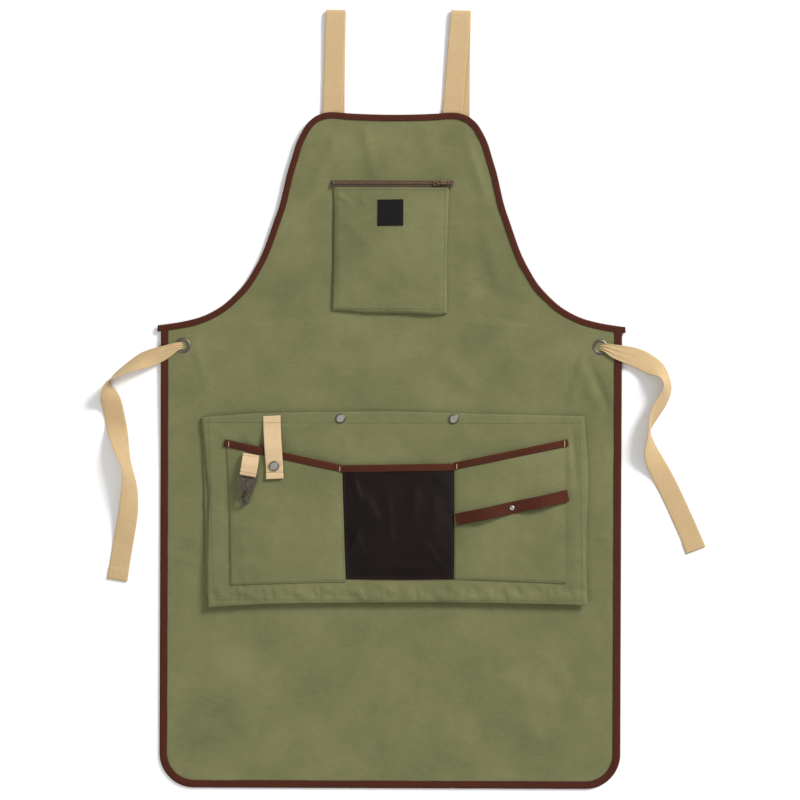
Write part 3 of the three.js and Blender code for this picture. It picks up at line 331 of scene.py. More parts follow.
# %% Cloth
def new_material(name):
    material = bpy.data.materials.new(name)
    material.use_nodes = True
    tree = material.node_tree
    tree.nodes.clear()
    net = Net(tree)
    shader = net.add("ShaderNodeBsdfPrincipled")
    out = net.add("ShaderNodeOutputMaterial")
    tree.links.new(shader.outputs[0], out.inputs[0])
    return material, net, shader


def cloth(name, colour, dark, thread, weave, by_uv=False, uneven=0.5, depth=0.00012, sheen=0.25):
    """A woven cloth. colour: its threads; dark: painted shade between them, and darker streaks and clouds;
    thread: spacing in metres.
    """
    material, net, shader = new_material(name)
    coords = net.add("ShaderNodeTexCoord")
    place = coords.outputs["UV" if by_uv else "Object"]
    threads = net.add("ShaderNodeGroup", node_tree=weave)
    net.tree.links.new(place, threads.inputs[0])
    threads.inputs[1].default_value = thread
    streak = net.add("ShaderNodeMapping", {"Vector": place, "Scale": (1.0, 14.0, 1.0)})
    long = net.noise(streak.outputs[0], 95.0, 3.0, 0.6)
    upright = net.add("ShaderNodeMapping", {"Vector": place, "Scale": (11.0, 1.0, 1.0)})
    tall = net.noise(upright.outputs[0], 110.0, 3.0, 0.6)
    cloud = net.noise(place, 11.0, 4.0, 0.6)
    # The weave's painted shade between the threads darkens the colour.
    woven = net.math("MULTIPLY", threads.outputs[1], 0.5)
    tone = net.math("MULTIPLY_ADD", net.ramp(long, 0.3, 0.7), 0.22, woven)
    tone = net.math("MULTIPLY_ADD", net.ramp(tall, 0.3, 0.7), 0.13, tone)
    tone = net.math("MULTIPLY_ADD", net.ramp(cloud, 0.3, 0.7), uneven * 0.4, tone)
    tone = net.ramp(tone, 0.1, 1.0)
    net.tree.links.new(net.mix(tone, dark, colour), shader.inputs["Base Color"])
    rough = net.math("MULTIPLY_ADD", threads.outputs[1], -0.12, 0.95)
    net.tree.links.new(rough, shader.inputs["Roughness"])
    shader.inputs["Sheen Weight"].default_value = sheen
    shader.inputs["Sheen Roughness"].default_value = 0.6
    shader.inputs["Specular IOR Level"].default_value = 0.2
    lumps = net.add(
        "ShaderNodeBump", {"Height": net.noise(place, 55.0, 3.0), "Distance": 0.0006, "Strength": 0.35}
    )
    bump = net.add(
        "ShaderNodeBump",
        {"Height": threads.outputs[0], "Distance": depth, "Strength": 0.8, "Normal": lumps.outputs[0]},
    )
    net.tree.links.new(bump.outputs[0], shader.inputs["Normal"])
    return material

# %% [markdown]
# The middle pocket is soft dark leather. Its pebbles are cells with pores between them, painted darker there
# as shade, over wide soft lumps that catch the light.


# %% Leather
def leather_material(name, colour, dark):
    """Soft matt leather: a fine pebble grain with pores, painted darker between the pebbles as shade, and
    pale rubbed places.
    """
    material, net, shader = new_material(name)
    place = net.add("ShaderNodeTexCoord").outputs["Object"]
    cells = net.add(
        "ShaderNodeTexVoronoi", {"Vector": place, "Scale": 620.0}, feature="DISTANCE_TO_EDGE"
    )
    grain = net.ramp(cells.outputs["Distance"], 0.0, 0.12)
    wide = net.noise(place, 60.0, 4.0, 0.65)
    rubbed = net.noise(place, 16.0, 3.0)
    # The cells' edges, the hollows between the pebbles, get painted shade; the rubbed places are paler wear.
    tone = net.math("MULTIPLY_ADD", net.ramp(rubbed, 0.42, 0.75), 0.6, net.math("MULTIPLY", grain, 0.35))
    net.tree.links.new(net.mix(tone, dark, colour), shader.inputs["Base Color"])
    net.tree.links.new(net.math("MULTIPLY_ADD", wide, 0.2, 0.4), shader.inputs["Roughness"])
    shader.inputs["Specular IOR Level"].default_value = 0.14
    soft = net.add("ShaderNodeBump", {"Height": wide, "Distance": 0.0012, "Strength": 0.5})
    pores = net.add(
        "ShaderNodeBump",
        {"Height": grain, "Distance": 0.0001, "Strength": 0.55, "Normal": soft.outputs[0]},
    )
    net.tree.links.new(pores.outputs[0], shader.inputs["Normal"])
    return material

# %% [markdown]
# The snaps, eyelets, zip and clip are plated. Fine scratches lie one way; sharp edges are lighter, as rubbed
# wear, and hollows darker, as painted shade.
# Thread is a fine two-ply, so a small noise is enough at its size.


# %% Metal and thread
def metal_material(name, colour, dark, rough, metallic=1.0):
    """Plated metal with fine scratches, lighter on its sharp rubbed edges as wear and darker in its hollows
    as painted shade.
    """
    material, net, shader = new_material(name)
    place = net.add("ShaderNodeTexCoord").outputs["Object"]
    stretched = net.add(
        "ShaderNodeMapping", {"Vector": place, "Scale": (1.0, 9.0, 3.0), "Rotation": (0, 0, 0.5)}
    )
    scratch = net.noise(stretched.outputs[0], 900.0, 4.0, 0.7)
    dull = net.noise(place, 160.0, 3.0)
    # Pointiness: sharp edges come out lighter as rubbed wear, hollows darker as painted shade.
    edge = net.ramp(net.add("ShaderNodeNewGeometry").outputs["Pointiness"], 0.47, 0.58)
    tone = net.math("MULTIPLY_ADD", edge, 0.5, net.math("MULTIPLY", dull, 0.6))
    net.tree.links.new(net.mix(tone, dark, colour), shader.inputs["Base Color"])
    shader.inputs["Metallic"].default_value = metallic
    net.tree.links.new(net.math("MULTIPLY_ADD", scratch, 0.18, rough), shader.inputs["Roughness"])
    bump = net.add("ShaderNodeBump", {"Height": scratch, "Distance": 0.00004, "Strength": 0.5})
    net.tree.links.new(bump.outputs[0], shader.inputs["Normal"])
    return material


def thread_material(name, colour, dark):
    """Sewing thread: two plies that wind round each other."""
    material, net, shader = new_material(name)
    place = net.add("ShaderNodeTexCoord").outputs["Object"]
    ply = net.noise(place, 2600.0, 2.0)
    net.tree.links.new(net.mix(net.ramp(ply, 0.35, 0.65), dark, colour), shader.inputs["Base Color"])
    shader.inputs["Roughness"].default_value = 0.75
    bump = net.add("ShaderNodeBump", {"Height": ply, "Distance": 0.00008, "Strength": 0.7})
    net.tree.links.new(bump.outputs[0], shader.inputs["Normal"])
    return material

# %% [markdown]
# One material for each finish, shared by the pieces that are made of it.


# %% The finishes of the apron
canvas = cloth(
    "olive canvas", linear(118, 119, 80), linear(79, 80, 49), 0.0008, plain_weave, uneven=1.1, sheen=0.05
)
brown = cloth(
    "brown binding", linear(83, 36, 17), linear(48, 18, 8), 0.0006, twill_weave, by_uv=True, sheen=0.02
)
webbing = cloth(
    "cotton webbing", linear(207, 180, 138), linear(166, 136, 92), 0.0014, twill_weave, by_uv=True,
    depth=0.0003, sheen=0.1,
)
pale_webbing = cloth(
    "pale webbing", linear(217, 191, 152), linear(184, 154, 112), 0.0014, twill_weave, by_uv=True,
    depth=0.0003, sheen=0.1,
)
zip_cloth = cloth("zip tape", linear(84, 62, 46), linear(46, 32, 24), 0.0006, twill_weave)
label_cloth = cloth(
    "black label", linear(19, 16, 15), linear(8, 6, 6), 0.0004, plain_weave, depth=0.00005, sheen=0.02
)
leather = leather_material("dark leather", linear(26, 11, 10), linear(12, 5, 5))
gunmetal = metal_material("gunmetal", linear(120, 112, 100), linear(62, 56, 50), 0.42)
old_brass = metal_material("zip metal", linear(136, 112, 88), linear(62, 47, 36), 0.42)
nickel = metal_material("nickel", linear(208, 205, 198), linear(140, 136, 130), 0.32)
dull_nickel = metal_material("dull nickel", linear(132, 124, 112), linear(56, 50, 45), 0.36)
tan_thread = thread_material("tan thread", linear(172, 142, 100), linear(132, 106, 72))
green_thread = thread_material("green thread", linear(92, 95, 62), linear(66, 69, 42))
brown_thread = thread_material("brown thread", linear(74, 36, 26), linear(48, 22, 16))
pale_thread = thread_material("pale thread", linear(226, 202, 160), linear(186, 158, 116))

# %% [markdown]
# ## The outline and the body panel
# The apron is one piece of canvas: a narrow bib, two curved armholes and a straight skirt with round
# corners. Its edge is read down the right side, as a distance from the middle and a height in millimetres,
# and mirrored. The bindings follow the same line, so cloth and tape can't drift apart.

# %% Measures of the outline
HALF = 304.0
TOP = 887.7
CORNER = 605.7
HEM = -4.3
HEM_ROUND = 46.0
BIB = [
    (0, 0.295), (0.028, 0.34), (0.066, 0.375), (0.14, 0.412), (0.215, 0.434), (0.29, 0.455),
    (0.365, 0.471), (0.44, 0.488), (0.515, 0.512), (0.59, 0.536), (0.664, 0.562), (0.738, 0.597),
    (0.813, 0.642), (0.888, 0.71), (0.93, 0.765), (0.963, 0.83), (0.985, 0.91), (1, 1),
]


# The round corner of the top: x and the drop below the top.
SHOULDER = [(60, 2.2), (75, 0.9), (86, 1.3), (95.5, 3.9)]


def curve_through(points, step):
    """Places spaced by about step along a smooth curve through the points."""
    points = np.array(points, float)
    before = np.vstack([2 * points[0] - points[1], points, 2 * points[-1] - points[-2]])
    fine = []
    for i in range(1, len(before) - 2):
        a, b, c, d = before[i - 1 : i + 3]
        for t in np.linspace(0, 1, 12, endpoint=False):
            bend, twist = 2 * a - 5 * b + 4 * c - d, 3 * b - a - 3 * c + d
            fine.append(0.5 * (2 * b + (c - a) * t + bend * t * t + twist * t**3))
    fine.append(points[-1])
    fine = np.array(fine)
    length = np.concatenate([[0], np.cumsum(np.linalg.norm(np.diff(fine, axis=0), axis=1))])
    count = max(2, int(round(length[-1] / step)) + 1)
    places = np.linspace(0, length[-1], count)
    return np.stack([np.interp(places, length, fine[:, k]) for k in range(fine.shape[1])], axis=1)


def top_edge(x):
    return TOP - 4.0 * (1 - np.clip(x / (BIB[0][1] * HALF), -1, 1) ** 2)


bib_side = [(share * HALF, TOP - drop * (TOP - CORNER)) for drop, share in BIB]
hem_turn = [
    (HALF - HEM_ROUND * (1 - math.cos(a)), HEM + HEM_ROUND * (1 - math.sin(a)))
    for a in np.linspace(0, math.pi / 2, 13)
]
armhole = curve_through(bib_side, 3.2)
skirt = curve_through([(HALF, CORNER - 2), (HALF, 400), (HALF, 200), (HALF, 60)], 3.8)
hem_corner = curve_through(hem_turn, 3.2)
side_line = np.vstack([armhole, skirt, hem_corner])

# %% [markdown]
# A canvas that was folded away and smoothed flat keeps soft ridges, most of them near the corners, the
# eyelets and the seams. Each ridge is set by its two ends. Under the pockets the folds fade, so that the
# layers above lie flat.


# %% The body panel
def body_wrinkles(x, y):
    """Soft folds of a canvas that has been folded away and smoothed flat again. Millimetres."""
    z = 0.55 * noise(x, y, 85, 1) + 0.35 * noise(x + 0.3 * y, y, 38, 2)
    z += 0.12 * noise(x, y, 13, 3)
    z += 0.5 * smooth((y - 560) / 120) * noise(x + 0.15 * y, 0.3 * y, 26, 4)
    for start, end, width, rise in [
        ((-62, 880), (-112, 770), 9, 1.6),
        ((-40, 882), (-22, 795), 8, 1.3),
        ((40, 880), (62, 800), 10, 1.0),
        ((92, 868), (128, 760), 8, 1.2),
        ((112, 760), (150, 640), 11, 1.3),
        ((95, 700), (112, 560), 13, 1.1),
        ((-120, 700), (-150, 560), 15, 0.9),
        ((258, 592), (232, 480), 5, 1.5),
        ((258, 566), (293, 480), 4.5, -2.0),
        ((244, 570), (276, 488), 7, 1.5),
        ((252, 580), (205, 530), 6, 1.2),
        ((-262, 592), (-236, 500), 6, 1.1),
        ((-296, 300), (-240, 292), 7, 0.9),
        ((-296, 335), (-245, 322), 8, 0.9),
        ((265, 330), (300, 322), 7, 0.8),
        ((-280, 60), (-200, 190), 16, 1.6),
        ((-210, 30), (-150, 170), 14, 1.1),
        ((270, 60), (205, 190), 16, 1.5),
        ((205, 25), (160, 150), 14, 1.0),
        ((-60, 20), (-40, 190), 18, 1.0),
        ((60, 30), (85, 180), 18, 0.9),
        ((-80, 560), (-20, 500), 12, 0.8),
        ((60, 570), (120, 510), 12, 0.8),
    ]:
        z += crease(x, y, start, end, width, rise)
    return 1.5 * z


def body_panel():
    half = side_line[:, 0].copy()
    half[0] -= 4
    inset = 1.4
    columns = 140
    across = np.linspace(-1, 1, columns)
    across = np.sign(across) * np.abs(across) ** 0.92
    x = np.outer(half - inset, across)
    y = np.repeat(side_line[:, 1:2], columns, axis=1)
    y += np.clip(1 - (TOP - y) / (4 * HEM_ROUND), 0, 1) * (top_edge(x) - TOP)
    y = np.clip(y, HEM + inset, None) - inset * (y > TOP - 12)
    z = np.vectorize(lambda a, b: top_of("body_panel", a, b))(x, y)
    z = settled(z, 6)
    rim = np.minimum(np.abs(half[:, None] - np.abs(x)), np.minimum(y - HEM, TOP - y))
    seam = 0.35 * np.exp(-(((rim - 11) / 5) ** 2)) * noise(x * 1.0, y * 1.0, 7, 5)
    under = np.ones_like(z)
    for x0, x1, y0, y1 in [(-247, 259, 236, 488), (-77, 75, 622, 798)]:
        inside = np.minimum(np.minimum(x - x0, x1 - x), np.minimum(y - y0, y1 - y))
        under *= 1 - smooth(inside / 9 + 0.6)
    free = smooth((rim - 9.5) / 16)
    z += free * under * body_wrinkles(x, y) + seam
    z = np.maximum(z, 1.6)
    return sheet_object("body_cloth", x, y, z, 1.2)

# %% [markdown]
# ## Bindings
# Brown tape is folded over every outer edge and stitched through. A curve with a bevel would give an even
# pipe, so a flat rounded section is swept along the outline instead, with a small pucker at each stitch.

# %% The folded tape
FOLDED = [
    (8.5, 0.75), (8.45, 1.7), (7.9, 1.95), (6.9, 1.72), (5.6, 1.9), (3.6, 1.98), (1.7, 1.85),
    (0.6, 1.35), (0.05, 0.5), (0.05, -0.5), (0.6, -1.35), (1.7, -1.8), (5.0, -1.88), (8.0, -1.88),
    (8.5, -0.75),
]


def swept(name, path, across, heights, section, seed):
    """Sweeps a section of (inwards, up) pairs along a path. across: unit vectors that point inwards."""
    count, size = len(path), len(section)
    along = np.concatenate([[0], np.cumsum(np.linalg.norm(np.diff(path, axis=0), axis=1))])
    girth = np.concatenate([[0], np.cumsum(np.linalg.norm(np.diff(np.array(section), axis=0), axis=1))])
    wide = 1 + 0.02 * noise(along, along * 0, 23, seed)
    points, uvs = [], []
    for i in range(count):
        for k, (d, h) in enumerate(section):
            pucker = 0.14 * math.sin(along[i] * 2 * math.pi / 6.4) * math.exp(-(((d - 6.9) / 1.6) ** 2))
            bump = 0.1 * noise(along[i], d, 9, seed + 1) + (pucker if h > 0 else 0)
            points.append(
                (
                    path[i][0] + across[i][0] * d * wide[i],
                    path[i][1] + across[i][1] * d * wide[i],
                    heights[i] + h + (bump if h > 0 else 0),
                )
            )
            uvs.append((along[i] * MM, girth[k] * MM))
    faces = []
    for i in range(count - 1):
        for k in range(size):
            a, b = i * size + k, i * size + (k + 1) % size
            faces.append((a, b, b + size, a + size))
    faces.append(tuple(range(size - 1, -1, -1)))
    faces.append(tuple((count - 1) * size + k for k in range(size)))
    return recalculated(new_object(name, points, faces, uvs))


def recalculated(obj):
    """Turns all faces outwards."""
    work = bmesh.new()
    work.from_mesh(obj.data)
    bmesh.ops.recalc_face_normals(work, faces=work.faces)
    work.to_mesh(obj.data)
    work.free()
    return obj


def normals_of(path, left):
    """Unit vectors across a path, to its left or right."""
    way = np.gradient(path, axis=0)
    way /= np.linalg.norm(way, axis=1)[:, None]
    turned = np.stack([-way[:, 1], way[:, 0]], axis=1)
    return turned if left else -turned


def edge_binding(name, node, path, left, wide=1.0):
    across = normals_of(path, left)
    tops = np.array([top_of(node, *(p + a * 4)) for p, a in zip(path, across)])
    heights = settled(tops[None, :], 4)[0] - 1.9
    section = [(d * wide, h) for d, h in FOLDED]
    return swept(name, path, across, heights, section, seed=len(name))


def bib_path(step, beyond):
    """The bib's whole edge, from one side over the top to the other."""
    shoulder = [(x, TOP - drop) for x, drop in SHOULDER]
    right = curve_through(shoulder + bib_side[1:] + [(HALF + beyond, CORNER)], step)
    xs = np.linspace(-SHOULDER[0][0], SHOULDER[0][0], int(120 / step))[1:-1]
    top = np.stack([xs, top_edge(xs)], axis=1)
    return np.vstack([right[::-1] * [-1, 1], top, right])


def bib_binding():
    return edge_binding("bib_binding", "binding_bib", bib_path(2.5, 4), left=False)


def hem_binding():
    down = curve_through([(HALF, CORNER - 5.5), (HALF, 400), (HALF, 200), (HALF, HEM + HEM_ROUND)], 3.0)
    turn = curve_through(hem_turn, 2.5)[1:]
    xs = np.linspace(HALF - HEM_ROUND, -(HALF - HEM_ROUND), 150)[1:-1]
    low = np.stack([xs, np.full_like(xs, HEM)], axis=1)
    path = np.vstack([down, turn, low, turn[::-1] * [-1, 1], down[::-1] * [-1, 1]])
    return edge_binding("hem_binding", "binding_hem", path, left=False, wide=1.18)


# %% [markdown]
# ## Straps and other webbing
# The straps twist, fold and cross behind the apron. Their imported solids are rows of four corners, and each
# row is found from the one before, so the fine webbing follows the same path without a second set of
# numbers. Near the eyelets the webbing is gathered, which a ripple across it shows.


# %% Rings of a packed ribbon
CLIP_X, CLIP_Y, CLIP_TURN = -183.3, 432.3, math.radians(-10)  # the clip's head and its lean
TAPE_RUN = (147.3, 32.0)  # the tool tape, from its lower end to its upper one
PACKED_LOWER = 4.5  # how far below the photo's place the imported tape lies


def rings_of(name, start):
    """The rings of four corners of a CAD ribbon, from the end nearest to start. Millimetres."""
    mesh = nodes[name].data
    places, index = {}, []
    for v in mesh.vertices:
        key = tuple(round(c * 1e5) for c in v.co)
        index.append(places.setdefault(key, len(places)))
    points = np.array(list(places), float) / 100.0
    near = {i: set() for i in range(len(points))}
    for p in mesh.polygons:
        corners = [index[v] for v in p.vertices]
        for a in corners:
            near[a] |= set(corners) - {a}
    # Layers lie close above each other, so height counts for more than the rest.
    apart = (points - np.array(start)) * [1, 1, 10]
    first = list(np.argsort(np.linalg.norm(apart, axis=1))[:4])
    centre = points[first].mean(axis=0)
    first.sort(key=lambda i: math.atan2(points[i][2] - centre[2], points[i][0] - centre[0]))
    rings, seen = [first], set(first)
    while True:
        found = {n for c in rings[-1] for n in near[c]} - seen
        if len(found) != 4:
            break
        best = min(
            itertools.permutations(found),
            key=lambda order: sum(
                np.linalg.norm(points[a] - points[b]) for a, b in zip(rings[-1], order)
            ),
        )
        rings.append(list(best))
        seen |= found
    return points[np.array(rings)]

# %% [markdown]
# A strip is a closed section carried through the rows: flat in its middle, thinner at its woven edges, and
# double for the last stretch, where the hem is folded back.


# %% Webbing and tape
def ribbon(name, centres, acrosses, ups, thick, hem=0.0, seed=1, gather=26.4):
    """A woven tape through rings: centres, half-width vectors and unit vectors up, all in millimetres.
    hem: length of the last stretch that is folded double."""
    along = np.concatenate([[0], np.cumsum(np.linalg.norm(np.diff(centres, axis=0), axis=1))])
    shares = np.concatenate([[-1, -0.96], np.linspace(-0.86, 0.86, 13), [0.96, 1]])
    side = np.abs(shares)
    crown = np.where(side > 0.95, np.where(side > 0.99, 0.25, 0.85), 1.0)
    points, uvs = [], []
    for i, (c, a, up) in enumerate(zip(centres, acrosses, ups)):
        half = np.linalg.norm(a)
        squeezed = max(0.0, 1 - 2 * half / gather)
        folded = smooth((along[i] - along[-1] + hem) / 1.5) if hem else 0.0
        dip = math.exp(-(((along[i] - along[-1] + hem) / 0.9) ** 2)) if hem else 0.0
        h = thick / 2 * (1 + 1.0 * folded - 0.35 * dip)
        ripple = 1.6 * squeezed * np.cos(3 * math.pi * shares)
        waves = noise(shares * 14, np.full_like(shares, along[i]), 21, seed)
        ripple = ripple + 0.25 * waves * min(1, along[i] / 30)
        for top in (1, -1):
            order = range(len(shares)) if top > 0 else range(len(shares) - 1, -1, -1)
            for k in order:
                rise = ripple[k] + top * h * crown[k]
                place = c + a * shares[k] * (1 + 0.03 * folded) + up * rise
                points.append((place[0], place[1], max(place[2], 0.05)))
                uvs.append((along[i] * MM, shares[k] * half * MM))
    size = 2 * len(shares)
    faces = []
    for i in range(len(centres) - 1):
        for k in range(size):
            a, b = i * size + k, i * size + (k + 1) % size
            faces.append((a, b, b + size, a + size))
    faces.append(tuple(range(size - 1, -1, -1)))
    faces.append(tuple((len(centres) - 1) * size + k for k in range(size)))
    return recalculated(new_object(name, points, faces, uvs))


def cad_ribbon(name, node, start, thick, step=2.5, rounds=6, hem=0.0, seed=1, gather=26.4):
    """A fine ribbon over a CAD ribbon's rings, evened out along its length."""
    rings = rings_of(node, start)
    centre = rings.mean(axis=1)
    # The two long sides of the first ring are found by their length.
    a, b = rings[:, 1] - rings[:, 0], rings[:, 2] - rings[:, 1]
    if np.linalg.norm(a[0]) > np.linalg.norm(b[0]):
        across = (rings[:, 1] + rings[:, 2] - rings[:, 0] - rings[:, 3]) / 4
    else:
        across = (rings[:, 2] + rings[:, 3] - rings[:, 0] - rings[:, 1]) / 4
    length = np.concatenate([[0], np.cumsum(np.linalg.norm(np.diff(centre, axis=0), axis=1))])
    places = np.linspace(0, length[-1], int(length[-1] / step))
    rows = np.hstack([centre, across])
    fine = np.stack([np.interp(places, length, rows[:, k]) for k in range(6)], axis=1)
    for _ in range(rounds):
        fine[1:-1] = (fine[:-2] + fine[2:] + 2 * fine[1:-1]) / 4
    centre, across = fine[:, :3], fine[:, 3:]
    way = np.gradient(centre, axis=0)
    way /= np.linalg.norm(way, axis=1)[:, None]
    up = np.cross(across, way)
    up /= np.linalg.norm(up, axis=1)[:, None]
    return ribbon(name, centre, across, up, thick, hem, seed, gather)

# %% [markdown]
# Four kinds of strip use that one section. The tool tape stands off the pocket between its rivet and ends.


# %% Straps, clip loop, tool tape and tab
def strap(name, node, side):
    return cad_ribbon(name, node, (side * 79, 853.7, 4.5), 1.5, hem=17, seed=11 + side)


def clip_loop():
    """The strip folded through the clip's head. Its upper end reaches to the mouth's binding."""
    start = (CLIP_X, CLIP_Y, 18.6)
    strip = cad_ribbon("clip_webbing", "clip_loop", start, 1.15, step=0.8, rounds=2, seed=5, gather=21.5)
    for v in strip.data.vertices:
        v.co.y += 3.6 * MM * float(smooth((v.co.y / MM - 420) / 10))
    return strip


def tool_tape():
    t = np.linspace(0, 1, 110)
    x = 85.7 + t * TAPE_RUN[0]
    y = 351.2 + t * TAPE_RUN[1]
    way = np.array(TAPE_RUN) / math.hypot(*TAPE_RUN)
    tops = [top_of("tool_tape", a, b - PACKED_LOWER) for a, b in zip(x, y)]
    z = settled(np.array([tops]), 12)[0] - 0.8
    centres = np.stack([x, y, z], axis=1)
    acrosses = np.tile(np.array([-way[1], way[0], 0]) * 7.9, (len(t), 1))
    slope = np.gradient(z, x)
    ups = np.stack([-slope * way[0], -slope * way[1], np.ones_like(z)], axis=1)
    ups /= np.linalg.norm(ups, axis=1)[:, None]
    return ribbon("tool_tape_cloth", centres, acrosses, ups, 1.4, seed=21, gather=15.8)


def tab():
    y = np.linspace(486.6, 403.8, 70)
    t = (486.6 - y) / (486.6 - 403.8)
    x = -157.0 + 4.6 * smooth(t)
    z = np.array([[top_of("tab_strap", -153.0, b) for b in y]])
    z = settled(z, 10)[0] - 0.8
    centres = np.stack([x, y, z], axis=1)
    lean = np.stack([np.full_like(y, 1.0), np.full_like(y, 0.05), np.zeros_like(y)], axis=1)
    acrosses = lean * 11.5 * (1 - 0.02 * t)[:, None]
    slope = np.gradient(z, y)
    ups = np.stack([np.zeros_like(y), -slope, np.ones_like(y)], axis=1)
    ups /= np.linalg.norm(ups, axis=1)[:, None]
    return ribbon("tab_webbing", centres, acrosses, ups, 1.5, hem=7.5, seed=31, gather=23)

# %% [markdown]
# ## Pockets
# A patch pocket is canvas turned in at its edges and sewn down. It could be a box with soft corners, but a
# sheet with bowed edges that turn down to the cloth below looks sewn, and takes folds and gathers.


# %% Bowed edges and four-sided sheets
def bowed(shares, table):
    """Offsets along an edge from a short table of (share, millimetres), evened out."""
    table = np.array(table, float)
    values = np.interp(shares, table[:, 0], table[:, 1])
    for _ in range(25):
        values[1:-1] = (values[:-2] + values[2:] + 2 * values[1:-1]) / 4
    return values


def four_sided(corners, nu, nv, left=((0, 0),), right=((0, 0),), top=((0, 0),), bottom=((0, 0),)):
    """Grids of x and y over top left, top right, bottom left and bottom right, with bowed edges."""
    u, v = np.linspace(0, 1, nu)[None, :], np.linspace(0, 1, nv)[:, None]
    tl, tr, bl, br = [np.array(c, float) for c in corners]
    grids = []
    for axis in (0, 1):
        grids.append(
            (1 - v) * ((1 - u) * tl[axis] + u * tr[axis]) + v * ((1 - u) * bl[axis] + u * br[axis])
        )
    x, y = grids
    x = x + (1 - u) * bowed(v[:, 0], left)[:, None] + u * bowed(v[:, 0], right)[:, None]
    y = y + (1 - v) * bowed(u[0], top)[None, :] + v * bowed(u[0], bottom)[None, :]
    return x, y


def heights(node, x, y, rounds):
    return settled(np.vectorize(lambda a, b: top_of(node, a, b))(x, y), rounds)


def turned_down(name, x, y, z, base, thick, bulge=0.8, steps=5, lip=2.6):
    """A sheet whose left, right and lower edges round over and go down to the heights in base."""
    rows, columns = x.shape
    wide = [np.pad(g, ((0, steps), (steps, steps)), mode="edge") for g in (x, y, z, base)]
    x, y, z, base = wide
    i = np.arange(rows + steps)[:, None]
    j = np.arange(columns + 2 * steps)[None, :]
    out_left, out_right = np.clip(steps - j, 0, steps), np.clip(j - (columns + steps - 1), 0, steps)
    out_low = np.clip(i - (rows - 1), 0, steps)
    out = np.maximum(np.maximum(out_left, out_right), out_low) / steps
    down = np.sin(out * math.pi / 2) ** 2
    push = bulge * np.sin(out * math.pi)
    x = x + push * ((out_right > 0) * 1.0 - (out_left > 0) * 1.0)
    y = y - push * (out_low > 0)
    inner = np.minimum(np.minimum(j - steps, columns + steps - 1 - j), rows - 1 - i)
    round_off = np.where(inner >= 0, np.exp(-np.maximum(inner, 0) / 1.3), 1.0)
    z = z - round_off * np.minimum(lip, 0.45 * (z - base)) * (out == 0)
    edge = z - np.minimum(lip, 0.45 * (z - base)) * (out > 0)
    z = np.where(out > 0, edge * (1 - down) + base * down, z)
    return sheet_object(name, x, y, z, thick)


def puckers(distance, along, size, rise, seed):
    """Small gathers beside a seam, which fade with distance from it."""
    return rise * np.exp(-np.abs(distance) / size) * noise(along, distance * 0.3, size * 0.9, seed)

# %% [markdown]
# The pocket on the bib hangs from its zip. Small creases start at its corners and under the label.


# %% The chest pocket
CHEST = [(-76.5, 787.7), (74.5, 787.7), (-75.5, 623.7), (72.5, 623.7)]


def chest_pocket():
    x, y = four_sided(
        CHEST, 80, 88,
        left=[(0, 0), (0.13, 1.4), (0.5, 0.6), (0.8, -0.6), (1, -1.4)],
        right=[(0, 0), (0.5, -1.6), (1, 0)],
        bottom=[(0, 3.0), (0.14, 2.2), (0.3, -0.5), (0.66, -0.6), (0.93, -3.3), (1, -1)],
    )
    z = heights("chest_pocket", x, y, 6)
    base = heights("body_panel", x, y, 6) + 0.4
    fold = 0.35 * noise(x + 0.4 * y, y, 30, 31) + 0.18 * noise(x, y, 12, 32)
    for start, end, width, rise in [
        ((-76, 780), (-52, 766), 3.0, 1.3),
        ((-44, 778), (-28, 756), 3.5, 0.9),
        ((-70, 752), (-20, 700), 8, 0.9),
        ((-60, 700), (20, 640), 10, 0.8),
        ((68, 775), (48, 700), 8, 0.8),
        ((64, 720), (40, 640), 8, 0.7),
        ((-60, 650), (-20, 632), 6, 0.8),
        ((-10, 700), (40, 725), 9, 0.6),
        ((0, 626), (66, 622), 5, 1.1),
    ]:
        fold += crease(x, y, start, end, width, rise)
    fold += puckers(y - 787.7, x, 7, 0.5, 33) + puckers(y - 624, x, 7, 0.5, 34)
    fold -= 0.55 * np.exp(-(((x + 71.5) / 1.2) ** 2)) + 0.45 * np.exp(-(((x - 68) / 1.2) ** 2))
    calm = smooth((787.7 - y) / 6) * 0.7 + 0.3
    keep = 1 - 0.85 * smooth(1 - np.maximum(np.abs(x + 2) - 18, np.abs(y - 754) - 18) / 5)
    return turned_down("chest_pocket_cloth", x, y, z + fold * calm * keep, base, 1.1)

# %% [markdown]
# Across the lap lies a pouch whose sides and bottom are folded like bellows. The front is one sheet, with
# gathers where the bottom fold pulls on it, and the fold itself is a strip that stands between the apron
# and the front, bulging a little.


